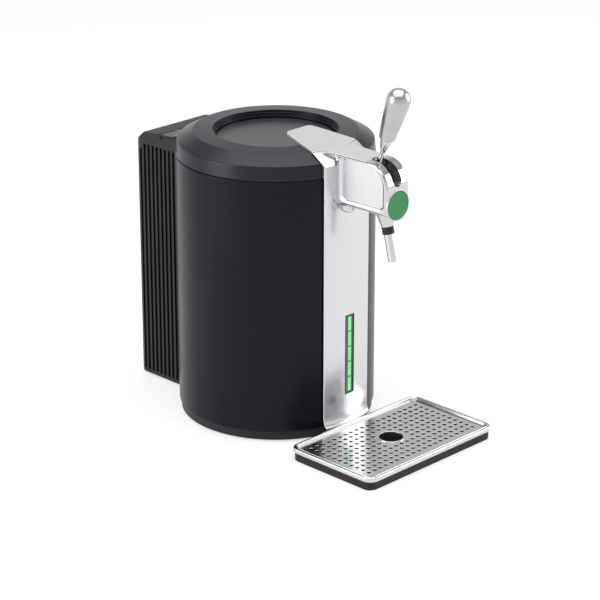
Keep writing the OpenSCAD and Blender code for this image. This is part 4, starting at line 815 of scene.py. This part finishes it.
def makeCover():
    low, top, plateTop, plateLow = tray["coverLow"], tray["railTop"], tray["plateTop"], tray["plateLow"]
    rail = [(0.5, low), (0.12, low + 0.5), (0, low + 1.2), (0, top - 2.0), (0.25, top - 1.0), (0.9, top - 0.3),
            (1.7, top), (3.0, top), (3.4, top - 0.15), (3.75, top - 0.6), (4.05, top - 0.6), (4.35, top - 0.1),
            (4.8, top), (5.3, top - 0.25),
            (5.6, top - 0.9), (5.75, plateTop + 0.6), (6.2, plateTop), (6.2, plateLow), (2.0, plateLow), (1.9, low)]
    railPiece = loft("rail", [turned(trayPlan(d), z, "plan") for d, z in rail], True)
    spots = holeCentres()
    wide = list(circles(spots, holes["radius"] + holes["dish"], holes["sides"]))
    big = list(circles([(0, drain["y"])], drain["radius"] + 1.6, drain["sides"]))
    outline = trayPlan(tray["plateInset"])
    points, faces = pierced(outline, wide + big, plateTop, plateLow)
    parts = [solid("sheet", points, faces)]
    narrow = circles(spots, holes["radius"], holes["sides"])
    shape = np.array(wide)
    walls, wallFaces = [], []
    n, sides = len(spots), holes["sides"]
    for ring, z in ((shape, plateTop), (narrow, plateTop - holes["dish"] * 0.8), (narrow, plateLow), (shape, plateLow)):
        walls.append(np.concatenate([ring, np.full((n, sides, 1), z)], -1).reshape(-1, 3))
    base = np.arange(n * sides).reshape(n, sides)
    for k in range(3):
        a, b = base + k * n * sides, base + (k + 1) * n * sides
        wallFaces.append(np.stack([a, b, np.roll(b, -1, 1), np.roll(a, -1, 1)], -1).reshape(-1, 4))
    walls, wallFaces = np.concatenate(walls), np.concatenate(wallFaces).tolist()
    parts.append(solid("holeWalls", walls, wallFaces))
    r, lip = drain["radius"], drain["lip"]
    lipSection = filleted([(r, plateLow - lip), (r, plateTop + 0.7), (r + 2.4, plateTop + 0.7), (r + 2.4, plateTop - 0.4),
                           (r + 1.2, plateTop - 0.4), (r + 1.2, plateLow - lip)], [0.3, 0.6, 1.0, 0, 0.5, 0.3], 5)
    parts.append(lathe("lip", lipSection, 72, True, lambda p: p + [0, drain["y"], 0]))
    parts.append(railPiece)
    dress(join("trayCover", parts), ["tray_grid"], smooth=38)


makeBasin()
makeCover()
print("tray made")

# ---- parts seen with the lid open ----
softened("chamber_collar", "chamberCollar", 0.6)
softened("chamber_liner", "kegChamber", 0.4, smooth=40)
softened("keg_cradle", "kegCradle", 0.5)
softened("hinge_bracket", "hingeBrackets", 0.3)

# ---- studio ----
studio = {"floor": 9.0, "white": 0.6, "dim": 0.45, "backdropLow": 0.1, "backdropHigh": 0.6,
          "ceilingLow": 0.62, "ceilingHigh": 0.95, "ceiling": 0.7}


def makeFloor():
    half = studio["floor"]
    mesh = bpy.data.meshes.new("studioFloor")
    mesh.from_pydata([(-half, -half, 0), (half, -half, 0), (half, half, 0), (-half, half, 0)], [], [(0, 1, 2, 3)])
    obj = bpy.data.objects.new("studioFloor", mesh)
    scene.collection.objects.link(obj)
    mat = bpy.data.materials.new("whitePaperFloor")
    mat.use_nodes = True
    tree = mat.node_tree
    shader = tree.nodes["Principled BSDF"]
    shader.inputs["Base Color"].default_value = linear("#f4f4f4")
    shader.inputs["Roughness"].default_value = 0.9
    path = addNode(tree, "ShaderNodeLightPath")
    # the camera, metal and glass all see the same whitened paper, with its shadow
    mirror = addNode(tree, "ShaderNodeMath", {0: path.outputs["Is Glossy Ray"], 1: path.outputs["Is Transmission Ray"]},
                     operation="MAXIMUM")
    seen = addNode(tree, "ShaderNodeMath", {0: path.outputs["Is Camera Ray"], 1: mirror.outputs[0]}, operation="MAXIMUM")
    plain = addNode(tree, "ShaderNodeEmission", {"Color": (1, 1, 1, 1), "Strength": 1.0})
    whitened = addNode(tree, "ShaderNodeMixShader", {0: studio["white"], 1: shader.outputs[0], 2: plain.outputs[0]})
    mix = addNode(tree, "ShaderNodeMixShader", {0: seen.outputs[0], 1: shader.outputs[0], 2: whitened.outputs[0]})
    tree.links.new(mix.outputs[0], tree.nodes["Material Output"].inputs["Surface"])
    mesh.materials.append(mat)


def makeWorld():  # the same for every ray: white round the horizon, dimmer above it, a bright ceiling
    world = bpy.data.worlds.new("studioWorld")
    scene.world = world
    world.use_nodes = True
    tree = world.node_tree
    axis = addNode(tree, "ShaderNodeSeparateXYZ", {0: addNode(tree, "ShaderNodeTexCoord").outputs["Generated"]})
    fade = addNode(tree, "ShaderNodeMapRange", {"Value": axis.outputs["Z"], "From Min": studio["backdropLow"],
                                               "From Max": studio["backdropHigh"], "To Min": 1.0, "To Max": studio["dim"]})
    ceiling = addNode(tree, "ShaderNodeMapRange", {"Value": axis.outputs["Z"], "From Min": studio["ceilingLow"],
                                                  "From Max": studio["ceilingHigh"], "To Max": studio["ceiling"]},
                      interpolation_type="SMOOTHSTEP")
    level = addNode(tree, "ShaderNodeMath", {0: fade.outputs["Result"], 1: ceiling.outputs["Result"]}, operation="ADD")
    back = tree.nodes["Background"]
    back.inputs["Color"].default_value = (1, 1, 1, 1)
    tree.links.new(level.outputs[0], back.inputs["Strength"])


lamps = {
    "leftBox": {"place": (-1700, 560, 700), "aim": (0, 0, 200), "size": (1000, 1500), "power": 19},
    "topBox": {"place": (-100, -100, 2100), "aim": (0, 0, 300), "size": (2300, 2300), "power": 34},
    "rightBox": {"place": (1700, -1200, 900), "aim": (0, -100, 200), "size": (1300, 1500), "power": 19},
}


def makeLamps():
    for name, lamp in lamps.items():
        data = bpy.data.lights.new(name, "AREA")
        data.shape, data.size, data.size_y = "RECTANGLE", lamp["size"][0] * milli, lamp["size"][1] * milli
        data.energy = lamp["power"]
        obj = bpy.data.objects.new(name, data)
        scene.collection.objects.link(obj)
        obj.location = toFrame(lamp["place"])
        toward = Vector(toFrame(lamp["aim"])) - obj.location
        obj.rotation_euler = toward.to_track_quat("-Z", "Y").to_euler()


makeFloor()
makeWorld()
makeLamps()
scene.view_settings.view_transform = "Standard"
print("studio made")
